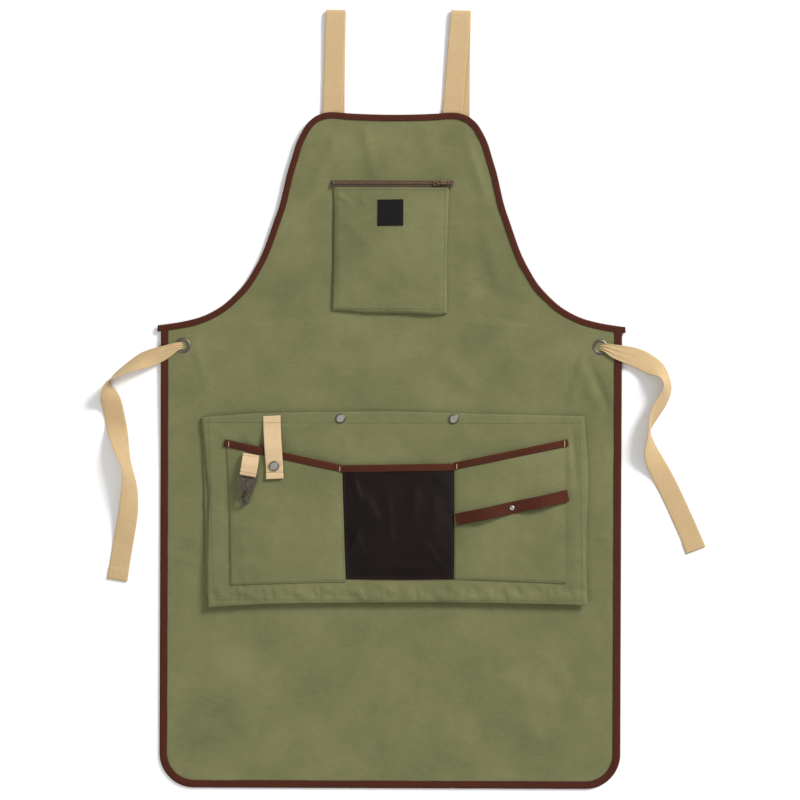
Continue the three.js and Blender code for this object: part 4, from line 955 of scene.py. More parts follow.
# %% The big pouch and its folded side
def pouch_front():
    corners = [(-247, 487.7), (253, 487.7), (-237, 238.7), (259, 238.7)]
    x, y = four_sided(
        corners, 190, 96,
        left=[(0, -2), (0.18, 1.2), (0.3, 2.8), (0.4, 5.2), (0.55, 2.6), (0.8, -1), (1, -2)],
        right=[(0, 1), (0.27, 4.6), (0.44, 3.3), (0.64, -0.8), (0.8, -1.2), (1, 0)],
        top=[(0, -3.4), (0.12, 1.7), (0.25, 3.4), (0.5, 5.5), (0.7, 2.6), (1, 0)],
        bottom=[(0, -4), (0.05, -2), (0.17, 1.4), (0.4, 3.2), (0.62, 4.2), (0.85, 2.4), (1, 0.6)],
    )
    z = heights("pouch_front", x, y, 8)
    base = z - 3.2
    fold = 0.45 * noise(x, y, 60, 41) + 0.28 * noise(x + 0.3 * y, y, 24, 42) + 0.08 * noise(x, y, 9, 43)
    for start, end, width, rise in [
        ((-140, 466), (-78, 482), 5, 1.4),
        ((-196, 470), (-178, 440), 5, 0.9),
        ((-232, 470), (-205, 452), 6, 1.0),
        ((232, 466), (238, 400), 4, 1.3),
        ((238, 482), (245, 386), 3.2, -1.9),
        ((-60, 470), (-60, 425), 6, 0.7),
        ((90, 472), (130, 440), 8, 0.6),
        ((10, 480), (40, 440), 12, 0.6),
        ((-226, 300), (-222, 420), 6, 0.8),
        ((240, 260), (242, 380), 6, 0.8),
    ]:
        fold += crease(x, y, start, end, width, rise)
    chance = np.random.RandomState(49)
    for place in np.arange(-228, 250, 17.0):
        start = place + chance.uniform(-6, 6)
        lean, rise = chance.uniform(-3, 12), chance.uniform(0.5, 1.5)
        fold -= crease(x, y, (start, 268), (start + lean, 238), 2.2, rise)
    band = np.exp(-(((y - 253) / 11) ** 2))
    gathers = noise(x + 0.7 * (y - 253), y, 13, 44) + 0.5 * noise(x - 0.6 * (y - 253), y, 7, 45)
    fold += band * 1.7 * gathers
    fold += puckers(y - 480, x, 7, 0.45, 46)
    fold += puckers(x + 243, y, 8, 0.4, 47) + puckers(x - 254, y, 8, 0.4, 48)
    fold -= 0.4 * np.exp(-(((y - 477.6) / 1.1) ** 2))
    fold -= 0.4 * np.exp(-(((y - 245) / 1.1) ** 2))
    under = np.ones_like(z)
    mouth = 452 - 0.21 * (213 - np.abs(x - 9))
    inside = np.minimum(np.minimum(x + 213, 231 - x), np.minimum(y - 266, mouth - y))
    under *= 1 - smooth(inside / 7 + 0.4)
    for snap in (-66.5, 82.5):
        under *= 1 - 0.8 * np.exp(-(((x - snap) / 9) ** 2) - ((y - 481.7) / 9) ** 2)
    return turned_down("pouch_cloth", x, y, z + under * fold, base, 1.1, bulge=0.6, steps=4, lip=1.4)


def gusset():
    """The pouch's folded side, from the apron up to the front's edge, bulging outwards."""
    left = [(-249, 484), (-247, 420), (-244, 340), (-241.5, 250)]
    low = [(-234, 240.5), (-120, 241), (100, 243), (246, 239.5)]
    right = [(256.5, 246), (257, 330), (255, 410), (253.5, 484)]
    path = np.vstack([curve_through(side, 3) for side in (left, low, right)])
    inward = normals_of(path, True)
    for _ in range(12):
        inward[1:-1] = (inward[:-2] + inward[2:] + 2 * inward[1:-1]) / 4
    inward /= np.linalg.norm(inward, axis=1)[:, None]
    low = np.array([top_of("body_panel", *(p + 2 * n)) for p, n in zip(path, inward)]) + 0.3
    high = np.array([top_of("pouch_front", *(p + 7 * n)) for p, n in zip(path, inward)]) - 2.0
    low, high = settled(low[None, :], 10)[0], settled(high[None, :], 10)[0]
    along = np.concatenate([[0], np.cumsum(np.linalg.norm(np.diff(path, axis=0), axis=1))])
    steps = 13
    t = np.linspace(0, 1, steps)
    rows = []
    for i, p in enumerate(path):
        wave = 0.7 * noise(along[i], 0.0, 19, 51) + 0.3 * noise(along[i], 5.0, 7, 52)
        # On its left the pouch's edge bows inwards, and the fold reaches in under it.
        reach = 4.4 + (5.6 * math.exp(-(((p[1] - 388) / 45) ** 2)) if p[0] < -238 else 0.0)
        lean = reach * t**1.5 - (1.6 + wave) * np.sin(math.pi * t) * 0.8 - 1.0 * (1 - t) ** 3
        rows.append(
            np.stack(
                [
                    p[0] + inward[i][0] * lean,
                    p[1] + inward[i][1] * lean,
                    low[i] + (high[i] - low[i]) * (t + 0.12 * np.sin(2 * math.pi * t)),
                ],
                axis=1,
            )
        )
    grid = np.array(rows)
    points = grid.reshape(-1, 3)
    uvs = np.stack([np.repeat(along, steps), np.tile(t * 12, len(path))], axis=1) * MM
    obj = new_object("gusset_cloth", points, grid_faces(len(path), steps), uvs)
    return thicken(obj, 1.0)

# %% [markdown]
# Three pockets share the front of the pouch: canvas, dark leather, canvas. The outer two slope down to the
# middle one. Leather folds in fewer and deeper creases than canvas.


# %% The front pockets
POCKETS = {
    "pocket_left": ((-217, 454.1), (-64.5, 420.7), (-210, 264.3), (-58.9, 268.9)),
    "pocket_centre": ((-63.9, 420.7), (83.1, 423.6), (-58.3, 272.7), (83.1, 272.7)),
    "pocket_right": ((83.7, 424.7), (231, 456.0), (83.7, 272.9), (231, 268.0)),
}
POCKET_FOLDS = {
    "pocket_left": [
        ((-190, 380), (-120, 340), 12, 0.5),
        ((-150, 400), (-90, 320), 14, 0.5),
        ((-200, 300), (-150, 272), 8, 0.6),
        ((-110, 300), (-75, 275), 8, 0.6),
    ],
    "pocket_centre": [
        ((-52, 412), (-36, 360), 5, 1.7),
        ((-44, 400), (-10, 330), 8, 1.5),
        ((-6, 400), (2, 300), 6, 1.3),
        ((34, 404), (26, 330), 7, 1.2),
        ((-50, 340), (-30, 280), 6, 1.3),
        ((60, 390), (52, 310), 7, 1.2),
        ((-20, 292), (70, 284), 6, 1.2),
        ((70, 280), (40, 330), 5, 1.2),
        ((-56, 300), (-40, 340), 4, 1.0),
    ],
    "pocket_right": [
        ((110, 400), (190, 425), 9, 0.5),
        ((100, 330), (160, 300), 10, 0.5),
        ((170, 330), (222, 290), 10, 0.5),
    ],
}


FOOT_OF_CANVAS = [(0, 0), (0.3, 0.6), (0.7, 0.3), (1, 0)]
FOOT_OF_LEATHER = [(0, 0), (0.5, -0.6), (1, 0.4)]


def front_pocket(name, seed):
    corners = POCKETS[name]
    x, y = four_sided(
        corners, 84, 84,
        left=[(0, 0), (0.5, 2.6), (1, 0)] if name == "pocket_left" else [(0, 0), (0.5, 0.6), (1, 0.4)],
        right=[(0, 0), (0.5, -0.6), (1, -0.5)],
        bottom=FOOT_OF_LEATHER if name == "pocket_centre" else FOOT_OF_CANVAS,
    )
    z = heights(name, x, y, 6)
    base = heights("pouch_front", x, y, 6) + 0.5
    strength = 1.0 if name == "pocket_centre" else 0.7
    fold = strength * (0.4 * noise(x, y, 40, seed) + 0.25 * noise(x + 0.4 * y, y, 17, seed + 1))
    for start, end, width, rise in POCKET_FOLDS[name]:
        fold += crease(x, y, start, end, width, rise)
    fold += puckers(y - 267, x, 7, 0.6, seed + 2)
    u = np.linspace(0, 1, x.shape[1])[None, :]
    v = np.linspace(0, 1, x.shape[0])[:, None]
    fold *= 1.35 * smooth(v / 0.08) * smooth(u / 0.06) * smooth((1 - u) / 0.06) * smooth((1 - v) / 0.04)
    thick = 1.3 if name == "pocket_centre" else 1.1
    return turned_down(name + "_cloth", x, y, z + fold, base, thick, bulge=0.5, steps=4, lip=1.2)


def mouth_binding(name):
    """The brown tape folded over a pocket's mouth."""
    tl, tr = POCKETS[name][:2]
    ends = 1.0
    t = np.linspace(0, 1, 64)
    x = tl[0] - ends + t * (tr[0] - tl[0] + 2 * ends)
    y = tl[1] + t * (tr[1] - tl[1]) + 1.2
    path = np.stack([x, y], axis=1)
    across = normals_of(path, False)
    node = name + "_binding"
    tops = np.array([top_of(node, *(p + a * 7)) for p, a in zip(path, across)])
    section = [
        (9.4, -0.9), (9.4, -0.2), (8.9, 0.02), (7.6, -0.16), (6.0, 0.0), (3.6, 0.05), (1.6, -0.05),
        (0.5, -0.5), (0.0, -1.2), (0.0, -2.2), (0.6, -2.8), (1.6, -3.0), (3.0, -2.9), (3.0, -2.2),
        (1.6, -1.9), (1.3, -1.3), (3.0, -1.0),
    ]
    heights_of_tape = settled(tops[None, :], 8)[0] + 0.1
    return swept(name + "_tape", path, across, heights_of_tape, section, seed=len(name))

# %% [markdown]
# ## Metal pieces
# Snap caps and eyelets are pressed from round sheet, so a turned profile gives their rolled edges. The
# slider, pull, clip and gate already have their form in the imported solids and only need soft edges.


# %% Turned pieces
EYELET_X, EYELET_Y = 275, 578.7
SNAP_X, SNAP_Y = (-66.5, 82.5), 483.4
TAB_SNAP = (-153, 420.7)
RIVET = (158.9, 367.0)


def lathe(name, x, y, z, profile, sides=56):
    """A closed solid turned round a vertical axis. profile: (radius, height) pairs, millimetres."""
    points = [
        (x + r * math.cos(a), y + r * math.sin(a), z + h)
        for a in np.linspace(0, 2 * math.pi, sides, endpoint=False)
        for r, h in profile
    ]
    size = len(profile)
    faces = []
    for i in range(sides):
        for k in range(size - 1):
            a, b = i * size + k, ((i + 1) % sides) * size + k
            faces.append((a, b, b + 1, a + 1))
        if profile[0][0] > 0:
            a, b = i * size + size - 1, ((i + 1) % sides) * size + size - 1
            faces.append((a, b, ((i + 1) % sides) * size, i * size))
    obj = new_object(name, points, faces)
    work = bmesh.new()
    work.from_mesh(obj.data)
    bmesh.ops.remove_doubles(work, verts=work.verts, dist=1e-6)
    work.to_mesh(obj.data)
    work.free()
    return recalculated(obj)


def eyelet(name, node, x, y):
    low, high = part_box(node)
    base, height = low[2] / MM, (high[2] - low[2]) / MM
    profile = [
        (6.0, 0.4), (6.0, height - 0.9), (6.4, height - 0.2), (7.4, height + 0.15), (8.7, height + 0.1),
        (9.8, height - 0.25), (10.5, height - 0.85), (10.4, height - 1.05), (8.0, height - 1.0),
        (7.1, height - 1.2), (7.1, 1.2), (8.0, 1.0), (10.4, 0.9), (10.4, 0.2), (7.0, 0.0),
    ]
    return lathe(name, x, y, base, profile)


def cap(name, node, x, y, radius, rise):
    """A pressed cap with a dished middle and a rolled edge, on its post."""
    low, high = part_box(node)
    base, top = low[2] / MM, high[2] / MM
    r = radius
    profile = [
        (0.0, -0.25), (0.3 * r, -0.22), (0.5 * r, -0.1), (0.62 * r, 0.0), (0.8 * r, -0.08), (0.92 * r, -0.4),
        (r, -0.85), (0.99 * r, -1.3), (0.9 * r, -rise), (0.5 * r, -rise), (0.34 * r, -rise - 0.2),
        (0.34 * r, base - top), (0.0, base - top),
    ]
    return lathe(name, x, y, top, profile)


def cap_ring(name, node, x, y, radius):
    """The dark rolled rim round a snap's cap."""
    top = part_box(node)[1][2] / MM
    profile = [
        (0.68 * radius, -1.2), (0.68 * radius, -0.1), (0.78 * radius, 0.12), (0.92 * radius, -0.05),
        (1.02 * radius, -0.6), (1.02 * radius, -1.2),
    ]
    return lathe(name, x, y, top, profile)


def softened(name, node, width, angle=35):
    """A copy of a CAD node with bevelled edges."""
    source = nodes[node]
    mesh = source.data.copy()
    obj = bpy.data.objects.new(name, mesh)
    bpy.context.scene.collection.objects.link(obj)
    work = bmesh.new()
    work.from_mesh(mesh)
    bmesh.ops.remove_doubles(work, verts=work.verts, dist=1e-6)
    bmesh.ops.dissolve_limit(work, angle_limit=math.radians(2), verts=work.verts, edges=work.edges)
    work.to_mesh(mesh)
    work.free()
    mod = obj.modifiers.new("bevel", "BEVEL")
    mod.width = width * MM
    mod.segments = 3
    mod.limit_method = "ANGLE"
    mod.angle_limit = math.radians(angle)
    mod.harden_normals = False
    applied(obj)
    for polygon in obj.data.polygons:
        polygon.use_smooth = False
    return obj


# %% [markdown]
# ## Small repeated things
# Stitches, zip teeth and bar tacks repeat hundreds of times along lines. One Geometry Nodes tree sets a
# small grain at even steps, turned along the line, and the result becomes plain mesh. Each grain has only
# a few dozen faces.


# %% A tree that sets pieces along lines
def along_line_tree():
    tree = bpy.data.node_groups.new("set along lines", "GeometryNodeTree")
    tree.interface.new_socket("Geometry", in_out="INPUT", socket_type="NodeSocketGeometry")
    tree.interface.new_socket("Piece", in_out="INPUT", socket_type="NodeSocketObject")
    for label, value in (("Spacing", 0.003), ("Size", 1.0), ("Unevenness", 0.06)):
        socket = tree.interface.new_socket(label, in_out="INPUT", socket_type="NodeSocketFloat")
        socket.default_value = value
    seed = tree.interface.new_socket("Seed", in_out="INPUT", socket_type="NodeSocketInt")
    seed.default_value = 1
    tree.interface.new_socket("Material", in_out="INPUT", socket_type="NodeSocketMaterial")
    tree.interface.new_socket("Geometry", in_out="OUTPUT", socket_type="NodeSocketGeometry")
    net = Net(tree)
    given = net.add("NodeGroupInput")
    lines = net.add("GeometryNodeMeshToCurve", {"Mesh": given.outputs["Geometry"]})
    points = net.add("GeometryNodeResampleCurve", {"Curve": lines.outputs[0]}, mode="LENGTH")
    tree.links.new(given.outputs["Spacing"], points.inputs["Length"])
    tangent = net.add("GeometryNodeInputTangent")
    turn = net.add(
        "FunctionNodeAlignEulerToVector", {"Vector": tangent.outputs[0]}, axis="X", pivot_axis="AUTO"
    )
    info = net.add(
        "GeometryNodeObjectInfo", {"Object": given.outputs["Piece"]}, transform_space="ORIGINAL"
    )
    spread = net.math("SUBTRACT", 1.0, given.outputs["Unevenness"])
    more = net.math("ADD", 1.0, given.outputs["Unevenness"])
    chance = net.add("FunctionNodeRandomValue", {"Seed": given.outputs["Seed"]}, data_type="FLOAT")
    tree.links.new(spread, chance.inputs[2])
    tree.links.new(more, chance.inputs[3])
    size = net.math("MULTIPLY", chance.outputs[1], given.outputs["Size"])
    placed = net.add(
        "GeometryNodeInstanceOnPoints",
        {"Points": points.outputs[0], "Instance": info.outputs["Geometry"], "Rotation": turn.outputs[0]},
    )
    tree.links.new(size, placed.inputs["Scale"])
    real = net.add("GeometryNodeRealizeInstances", {0: placed.outputs[0]})
    coloured = net.add("GeometryNodeSetMaterial", {"Geometry": real.outputs[0]})
    tree.links.new(given.outputs["Material"], coloured.inputs["Material"])
    out = net.add("NodeGroupOutput")
    tree.links.new(coloured.outputs[0], out.inputs[0])
    return tree


line_tree = along_line_tree()


def set_along(name, lines, piece, spacing, size, material, seed=1):
    """Sets copies of piece along lines of points in millimetres."""
    points, edges = [], []
    for line in lines:
        first = len(points)
        points += [tuple(np.array(p) * MM) for p in line]
        edges += [(first + k, first + k + 1) for k in range(len(line) - 1)]
    mesh = bpy.data.meshes.new(name)
    mesh.from_pydata(points, edges, [])
    obj = bpy.data.objects.new(name, mesh)
    bpy.context.scene.collection.objects.link(obj)
    mod = obj.modifiers.new("set along", "NODES")
    mod.node_group = line_tree
    sockets = {
        s.name: s.identifier for s in line_tree.interface.items_tree if s.in_out == "INPUT"
    }
    mod[sockets["Piece"]] = piece
    mod[sockets["Spacing"]] = spacing * MM
    mod[sockets["Size"]] = size
    mod[sockets["Seed"]] = seed
    mod[sockets["Material"]] = material
    obj.update_tag()
    bpy.context.view_layer.update()
    applied(obj)
    for polygon in obj.data.polygons:
        polygon.use_smooth = True
    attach(obj, "apron")
    return obj


def small_form(name, length, width, height, sides=6, rounds=5):
    """A rounded grain along X, such as a stitch or a tooth, in millimetres. It isn't shown itself."""
    points, faces = [], []
    for i in range(rounds):
        t = i / (rounds - 1)
        r = 0.35 + 0.65 * math.sin(math.pi * t) ** 0.5
        for k in range(sides):
            a = 2 * math.pi * k / sides
            y, z = r * width / 2 * math.cos(a), r * height / 2 * math.sin(a)
            points.append(((t - 0.5) * length, y, z))
    for i in range(rounds - 1):
        for k in range(sides):
            a, b = i * sides + k, i * sides + (k + 1) % sides
            faces.append((a, b, b + sides, a + sides))
    faces.append(tuple(range(sides - 1, -1, -1)))
    faces.append(tuple((rounds - 1) * sides + k for k in range(sides)))
    obj = new_object(name, points, faces)
    bpy.context.scene.collection.objects.unlink(obj)
    return obj


# %% [markdown]
# ## Zip, label and clip
# The zip's tape is a thin sheet with two sewn rows, and its teeth are set along two lines that lock. The
# label is a bare woven patch. The clip is pressed sheet metal, so its rims are round wires on its plate.

# %% Zip
def zip_tape():
    x, y = np.meshgrid(np.linspace(-80.3, 80.3, 170), np.linspace(796.9, 788.2, 14))
    z = heights("zip_tape", x, y, 2)
    z += 0.12 * noise(x, y, 8, 61) - 0.25 * np.exp(-(((y - 790.0) / 0.5) ** 2)) - 0.25 * np.exp(
        -(((y - 795.6) / 0.5) ** 2)
    )
    return sheet_object("zip_tape_cloth", x, y, z, 0.8)


def zip_teeth():
    """Two rows of teeth that lock into each other, with a stop at each end."""
    tooth = small_form("tooth", 1.15, 2.6, 1.5, sides=8)
    rows = []
    for side, start in ((-1, 0.0), (1, 0.95)):
        line = []
        for x in np.linspace(-76.5 + start, 76.5 - 0.95 + start, 60):
            y = 792.95 + side * 0.75
            line.append((x, y, top_of("zip_teeth", x, 792.95) - 0.75))
        rows.append(line)
    obj = set_along("zip_teeth_fine", rows, tooth, 1.9, 1.0, old_brass, seed=3)
    return obj


def zip_stops():
    x0, x1 = -77.3, 77.3
    z = top_of("zip_teeth", 76, 792.95) - 0.9
    points, faces = [], []
    for x in (x0, x1):
        first = len(points)
        work = bmesh.new()
        bmesh.ops.create_cube(work, size=1.0)
        bmesh.ops.scale(work, vec=(1.6, 5.2, 1.8), verts=work.verts)
        bmesh.ops.bevel(work, geom=work.edges[:], offset=0.35, segments=3, affect="EDGES")
        for v in work.verts:
            points.append((v.co.x + x, v.co.y + 792.95, v.co.z + z))
        work.verts.index_update()
        faces += [tuple(first + v.index for v in f.verts) for f in work.faces]
        work.free()
    return new_object("zip_stops", points, faces)

# %% [markdown]
# The clip leans, so its places are given along and across it and turned once, by on_clip.


# %% Label and clip
def label():
    x, y = np.meshgrid(np.linspace(-18.9, 14.9, 36), np.linspace(771.6, 736.8, 38))
    y = y + 0.02 * x
    z = heights("label", x, y, 3)
    edge = np.minimum(np.minimum(x + 18.9, 14.9 - x), np.minimum(771.6 - y, y - 736.8))
    z -= 0.35 * np.exp(-(((edge - 1.6) / 0.6) ** 2)) + 0.2 * np.exp(-edge / 0.5)
    z += 0.1 * noise(x, y, 9, 71)
    return sheet_object("label_cloth", x, y, z, 0.6)


def on_clip(x, y):
    c, s = math.cos(CLIP_TURN), math.sin(CLIP_TURN)
    return CLIP_X + c * x - s * y, CLIP_Y + s * x + c * y


def wire(name, paths, radius, sides=10):
    """Round wires along closed or open paths of points, in millimetres."""
    points, faces = [], []
    for path in paths:
        path = np.array(path, float)
        closed = np.linalg.norm(path[0] - path[-1]) < 0.01
        way = np.gradient(path, axis=0)
        if closed:
            way[0] = way[-1] = path[1] - path[-2]
        way /= np.linalg.norm(way, axis=1)[:, None]
        first = len(points)
        for p, w in zip(path, way):
            side = np.cross(w, [0, 0, 1.0])
            side /= np.linalg.norm(side)
            up = np.cross(side, w)
            for k in range(sides):
                a = 2 * math.pi * k / sides
                points.append(tuple(p + radius * (math.cos(a) * side + math.sin(a) * up)))
        for i in range(len(path) - 1):
            for k in range(sides):
                a, b = first + i * sides + k, first + i * sides + (k + 1) % sides
                faces.append((a, b, b + sides, a + sides))
        if not closed:
            faces.append(tuple(first + k for k in range(sides - 1, -1, -1)))
            last = first + (len(path) - 1) * sides
            faces.append(tuple(last + k for k in range(sides)))
    return recalculated(new_object(name, points, faces))


def gate_rim():
    z = top_of("clip_plate", *on_clip(-9, -30)) - 0.15
    line = np.linspace((9.9, -42.5), (7.6, -53.8), 14)
    return wire("clip_gate_rim", [[(*on_clip(px, py), z) for px, py in line]], 0.62)


def clip_rims():
    """The pressed rims round the clip's plate and round its eye."""
    z = top_of("clip_plate", *on_clip(-9, -30)) - 0.15
    outline = [(-12.2, -25.2), (-12.2, -30)]
    outline += [(-6.9, -57.4)] + [
        (6.9 * math.cos(a), -57.4 + 6.9 * math.sin(a)) for a in np.linspace(math.pi, 2 * math.pi, 17)[1:-1]
    ]
    outline += [(6.9, -57.4), (7.6, -53.8)]
    upper = [(9.9, -42.5), (12.2, -30), (12.2, -25.2)]
    head = [(-12.2, -25.2), (12.2, -25.2)]
    eye = [(-1.9, -44.6), (-3.9, -57.0)] + [
        (3.9 * math.cos(a), -57.2 + 3.9 * math.sin(a)) for a in np.linspace(math.pi, 1.9 * math.pi, 12)
    ]
    arch = [(-4.6, -36.2), (-2.6, -38.5), (0, -33.8), (2.2, -38.0), (3.6, -41.5)]
    paths = []
    for line, step in ((outline, 0.8), (upper, 0.8), (head, 0.8), (eye, 0.7), (arch, 0.6)):
        flat = curve_through(line, step) if len(line) > 2 else np.array(line, float)
        paths.append([(*on_clip(px, py), z) for px, py in flat])
    return wire("clip_rims", paths, 0.62)


# %% [markdown]
# ## Sewing
# Each seam is a line on the cloth, found by rays cast down on the finished pieces, so that the stitches
# ride over every fold.


# %% Lines laid on cloth
def tree_of(objects):
    points, faces = [], []
    for obj in objects:
        first = len(points)
        points += [v.co.copy() for v in obj.data.vertices]
        faces += [tuple(first + i for i in p.vertices) for p in obj.data.polygons]
    return BVHTree.FromPolygons(points, faces)


def laid(tree, line, above=0.05, step=1.2):
    """A flat line laid on the surface under it."""
    line = np.array(line, float)
    if len(line) == 2:
        count = max(2, int(np.linalg.norm(line[1] - line[0]) / step))
        line = np.linspace(line[0], line[1], count)
    out = []
    for x, y in line:
        hit = tree.ray_cast(Vector((x * MM, y * MM, 0.2)), Vector((0, 0, -1)))[0]
        if hit is not None:
            out.append((x, y, hit.z / MM + above))
    z = np.array([p[2] for p in out])
    z[1:-1] = np.maximum(z[1:-1], (z[:-2] + z[2:]) / 2)
    return [(p[0], p[1], h) for p, h in zip(out, z)]


def inset_line(corners, sides, distance, samples=60):
    """Lines inside a four-cornered patch, parallel to its named sides."""
    tl, tr, bl, br = [np.array(c, float) for c in corners]
    ends = {"left": (tl, bl), "right": (tr, br), "top": (tl, tr), "bottom": (bl, br)}
    centre = (tl + tr + bl + br) / 4
    lines = []
    for side in sides:
        a, b = ends[side]
        way = (b - a) / np.linalg.norm(b - a)
        inward = np.array([-way[1], way[0]])
        if inward @ (centre - a) < 0:
            inward = -inward
        start, stop = a + way * distance, b - way * distance
        lines.append([tuple(p + inward * distance) for p in np.linspace(start, stop, samples)])
    return lines

# %% [markdown]
# ## Putting it together
# Every piece gets its finish, the body it rides on and the imported nodes that it
# stands for. Only the slider, the pull and the gate ride on bodies of their own.

# %% Cloth pieces
body = finish_piece(body_panel(), canvas, "apron", ["body_panel"])
bib_edge = finish_piece(bib_binding(), brown, "apron", ["binding_bib"])
hem_edge = finish_piece(hem_binding(), brown, "apron", ["binding_hem"])
straps = [
    finish_piece(strap(node + "_webbing", node, side), webbing, "apron", [node])
    for node, side in (("strap_left", -1), ("strap_right", 1))
]
chest = finish_piece(chest_pocket(), canvas, "apron", ["chest_pocket"])
front = finish_piece(pouch_front(), canvas, "apron", ["pouch_front"])
side_fold = finish_piece(gusset(), canvas, "apron", ["pouch_gusset"])
pocket_pieces, tapes = {}, {}
for number, name in enumerate(POCKETS):
    material, slot = (leather, "dark_leather") if name == "pocket_centre" else (canvas, "canvas")
    pocket_pieces[name] = finish_piece(front_pocket(name, 80 + 5 * number), material, "apron", [name])
    tapes[name] = finish_piece(mouth_binding(name), brown, "apron", [name + "_binding"])
tape = finish_piece(tool_tape(), brown, "apron", ["tool_tape"])
tab_cloth = finish_piece(tab(), pale_webbing, "apron", ["tab_strap"])
loop = finish_piece(clip_loop(), pale_webbing, "apron", ["clip_loop"])
badge = finish_piece(label(), label_cloth, "apron", ["label"])
zip_strip = finish_piece(zip_tape(), zip_cloth, "apron", ["zip_tape"])
teeth = zip_teeth()
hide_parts("zip_teeth")
finish_piece(zip_stops(), old_brass, "apron")
for node, x in (("eyelet_left", -EYELET_X), ("eyelet_right", EYELET_X)):
    finish_piece(eyelet(node + "_ring", node, x, EYELET_Y), dull_nickel, "apron", [node])
for name, x in (("pouch_snap_left", SNAP_X[0]), ("pouch_snap_right", SNAP_X[1])):
    finish_piece(cap(name + "_cap", name, x, SNAP_Y, 6.2, 2.0), nickel, "apron", [name])
    finish_piece(cap_ring(name + "_ring", name, x, SNAP_Y, 6.2), dull_nickel, "apron")
ring = cap_ring("tab_snap_ring", "tab_snap", *TAB_SNAP, 6.5)
finish_piece(ring, dull_nickel, "apron")
tab_cap = cap("tab_snap_cap", "tab_snap", *TAB_SNAP, 6.5, 2.0)
finish_piece(tab_cap, nickel, "apron", ["tab_snap"])
rivet = cap("tape_rivet_cap", "tape_rivet", *RIVET, 3.3, 1.0)
finish_piece(rivet, nickel, "apron", ["tape_rivet"])
finish_piece(softened("clip_body", "clip_plate", 0.35), gunmetal, "apron", ["clip_plate"])
finish_piece(clip_rims(), gunmetal, "apron")
finish_piece(gate_rim(), gunmetal, "clip_gate")
for name, node, material in (
    ("clip_gate_spring", "clip_gate", gunmetal),
    ("zip_slider_body", "zip_slider", old_brass),
    ("zip_pull_ring", "zip_pull", old_brass),
):
    # Each of these rides on the body that bears its node's name.
    finish_piece(softened(name, node, 0.25), material, node, [node])

# %% Seams
fine_stitch = small_form("fine_stitch", 2.5, 0.62, 0.5)
tack = small_form("tack", 0.7, 1.1, 0.7)


def seams():
    """All rows of sewing, with the pieces that they lie on."""
    edge = tree_of([bib_edge, hem_edge])
    bib = bib_path(3.0, 3)
    hem_right = np.vstack([skirt[3:], hem_corner])
    low = np.stack([np.linspace(256, -256, 160), np.full(160, HEM)], axis=1)
    hem = np.vstack([hem_right, low, hem_right[::-1] * [-1, 1]])
    rows = [
        laid(edge, path + normals_of(path, False) * inset) for path, inset in ((bib, 6.9), (hem, 8.1))
    ]
    set_along("edge_stitches", rows, fine_stitch, 3.3, 1.0, brown_thread, seed=4)

    outer = [pocket_pieces[name] for name in ("pocket_left", "pocket_right")]
    cloth_tree = tree_of([chest, front, body] + outer)
    lines = inset_line(CHEST, ["left", "right", "bottom"], 4.2) + inset_line(CHEST, ["top"], 3.0)
    pouch = [(-246, 487), (253, 487), (-237, 239), (258, 239)]
    lines += inset_line(pouch, ["left", "right", "bottom"], 5.4, 140)
    lines += [[(-241, 477.6), (248, 477.6)]]
    for name in ("pocket_left", "pocket_right"):
        lines += inset_line(POCKETS[name], ["left", "right"], 1.9)
        lines += inset_line(POCKETS[name], ["bottom"], 2.2)
    rows = [laid(cloth_tree, line) for line in lines]
    set_along("canvas_stitches", rows, fine_stitch, 3.1, 1.0, green_thread, seed=5)
    set_along(
        "leather_stitches",
        [laid(tree_of([pocket_pieces["pocket_centre"]]), line)
         for line in inset_line(POCKETS["pocket_centre"], ["left", "right", "bottom"], 2.0)],
        fine_stitch, 3.4, 1.0, brown_thread, seed=6,
    )
    tape_tree = tree_of(list(tapes.values()) + [tape])
    lines = []
    for name in POCKETS:
        tl, tr = POCKETS[name][:2]
        lines.append([(tl[0] + 1, tl[1] - 5.7), (tr[0] - 1, tr[1] - 5.7)])
    way = np.array(TAPE_RUN) / math.hypot(*TAPE_RUN)
    across = np.array([-way[1], way[0]])
    a, b = np.array([86.5, 351.2]), np.array([232.0, 382.9])
    lines += [[tuple(a + across * s), tuple(b + across * s)] for s in (-6.3, 6.3)]
    lines += [[tuple(p - across * 6), tuple(p + across * 6)] for p in (a + way * 2.2, b - way * 2.2)]
    rows = [laid(tape_tree, line) for line in lines]
    set_along("tape_stitches", rows, fine_stitch, 3.0, 1.0, brown_thread, seed=7)

    tacks = [(-213.4, 451.8, 443), (-67.2, 420, 411.5), (86.4, 423.6, 415), (228.2, 455, 446)]
    rows = [laid(tape_tree, ((x, high), (x, low)), 0.15) for x, high, low in tacks]
    set_along("bar_tacks", rows, tack, 0.75, 1.0, pale_thread, seed=8)

    pale = tree_of([tab_cloth, loop, *straps])
    lines = [[(-167, 477.2), (-146.5, 477.8)], [(-162.5, 412.2), (-142.5, 413.0)]]
    lines.append([on_clip(-9.5, -20.5), on_clip(9.5, -20.5)])
    lines.append([on_clip(-9.5, 1.2), on_clip(9.5, 1.2)])
    rows = [laid(pale, line) for line in lines]
    set_along("webbing_stitches", rows, fine_stitch, 2.8, 1.15, tan_thread, seed=9)


seams()
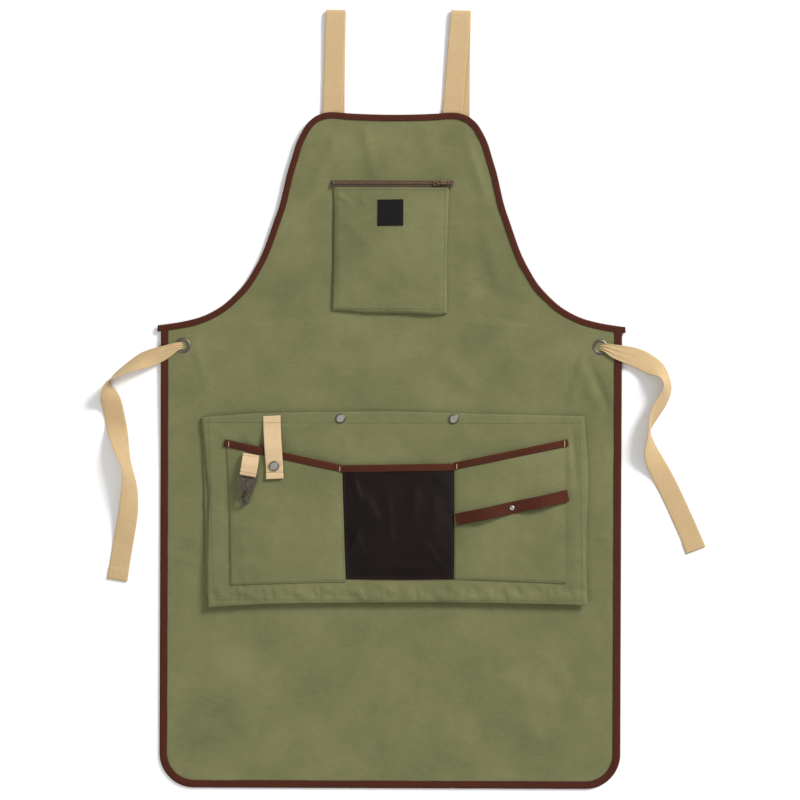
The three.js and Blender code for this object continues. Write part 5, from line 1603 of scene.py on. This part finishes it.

# %% [markdown]

# %% [markdown]
# ## Floor, light and camera
# The picture is taken from straight above on a white ground. One large soft light stands high at the upper
# right, so that the folds show, and a wider, weaker one fills the shade from the other side.


# %% Floor and lights
def floor():
    mesh = bpy.data.meshes.new("floor")
    mesh.from_pydata([(-6, -6, 0), (6, -6, 0), (6, 6, 0), (-6, 6, 0)], [], [(0, 1, 2, 3)])
    obj = bpy.data.objects.new("floor", mesh)
    bpy.context.scene.collection.objects.link(obj)
    material, net, shader = new_material("pale floor")
    shader.inputs["Base Color"].default_value = (0.97, 0.97, 0.97, 1)
    shader.inputs["Roughness"].default_value = 0.9
    shader.inputs["Specular IOR Level"].default_value = 0.1
    mesh.materials.append(material)
    obj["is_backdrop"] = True


def area_light(name, place, size, power, aim=(0.0, 0.5, 0.0)):
    data = bpy.data.lights.new(name, "AREA")
    data.shape = "DISK"
    data.size = size
    data.energy = power
    obj = bpy.data.objects.new(name, data)
    bpy.context.scene.collection.objects.link(obj)
    obj.location = place
    obj.rotation_euler = (Vector(aim) - Vector(place)).to_track_quat("-Z", "Y").to_euler()


def camera():
    data = bpy.data.cameras.new("camera")
    obj = bpy.data.objects.new("camera", data)
    bpy.context.scene.collection.objects.link(obj)
    distance = 3.2
    frame_width = 1.056  # what the picture shows of the surface, in metres
    data.sensor_width = 36
    data.lens = data.sensor_width * distance / frame_width
    data.clip_end = 50
    obj.location = (0.0116, 0.5079, distance)
    obj.rotation_euler = (0, 0, math.radians(0.22))
    bpy.context.scene.camera = obj


floor()
area_light("key", (4.0, 4.0, 3.6), 2.2, 455)
area_light("fill", (-1.6, -0.9, 2.6), 2.4, 24)
world = bpy.data.worlds.new("studio")
world.use_nodes = True
world.node_tree.nodes["Background"].inputs[0].default_value = (1, 1, 1, 1)
world.node_tree.nodes["Background"].inputs[1].default_value = 0.5
bpy.context.scene.world = world
bpy.context.scene.view_settings.view_transform = "Standard"
camera()

# %% Measure and finish
made_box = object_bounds()
for corner_name, corner in zip(("lowest", "highest"), made_box):
    print(corner_name, "corner in metres:", [round(float(c), 4) for c in corner])
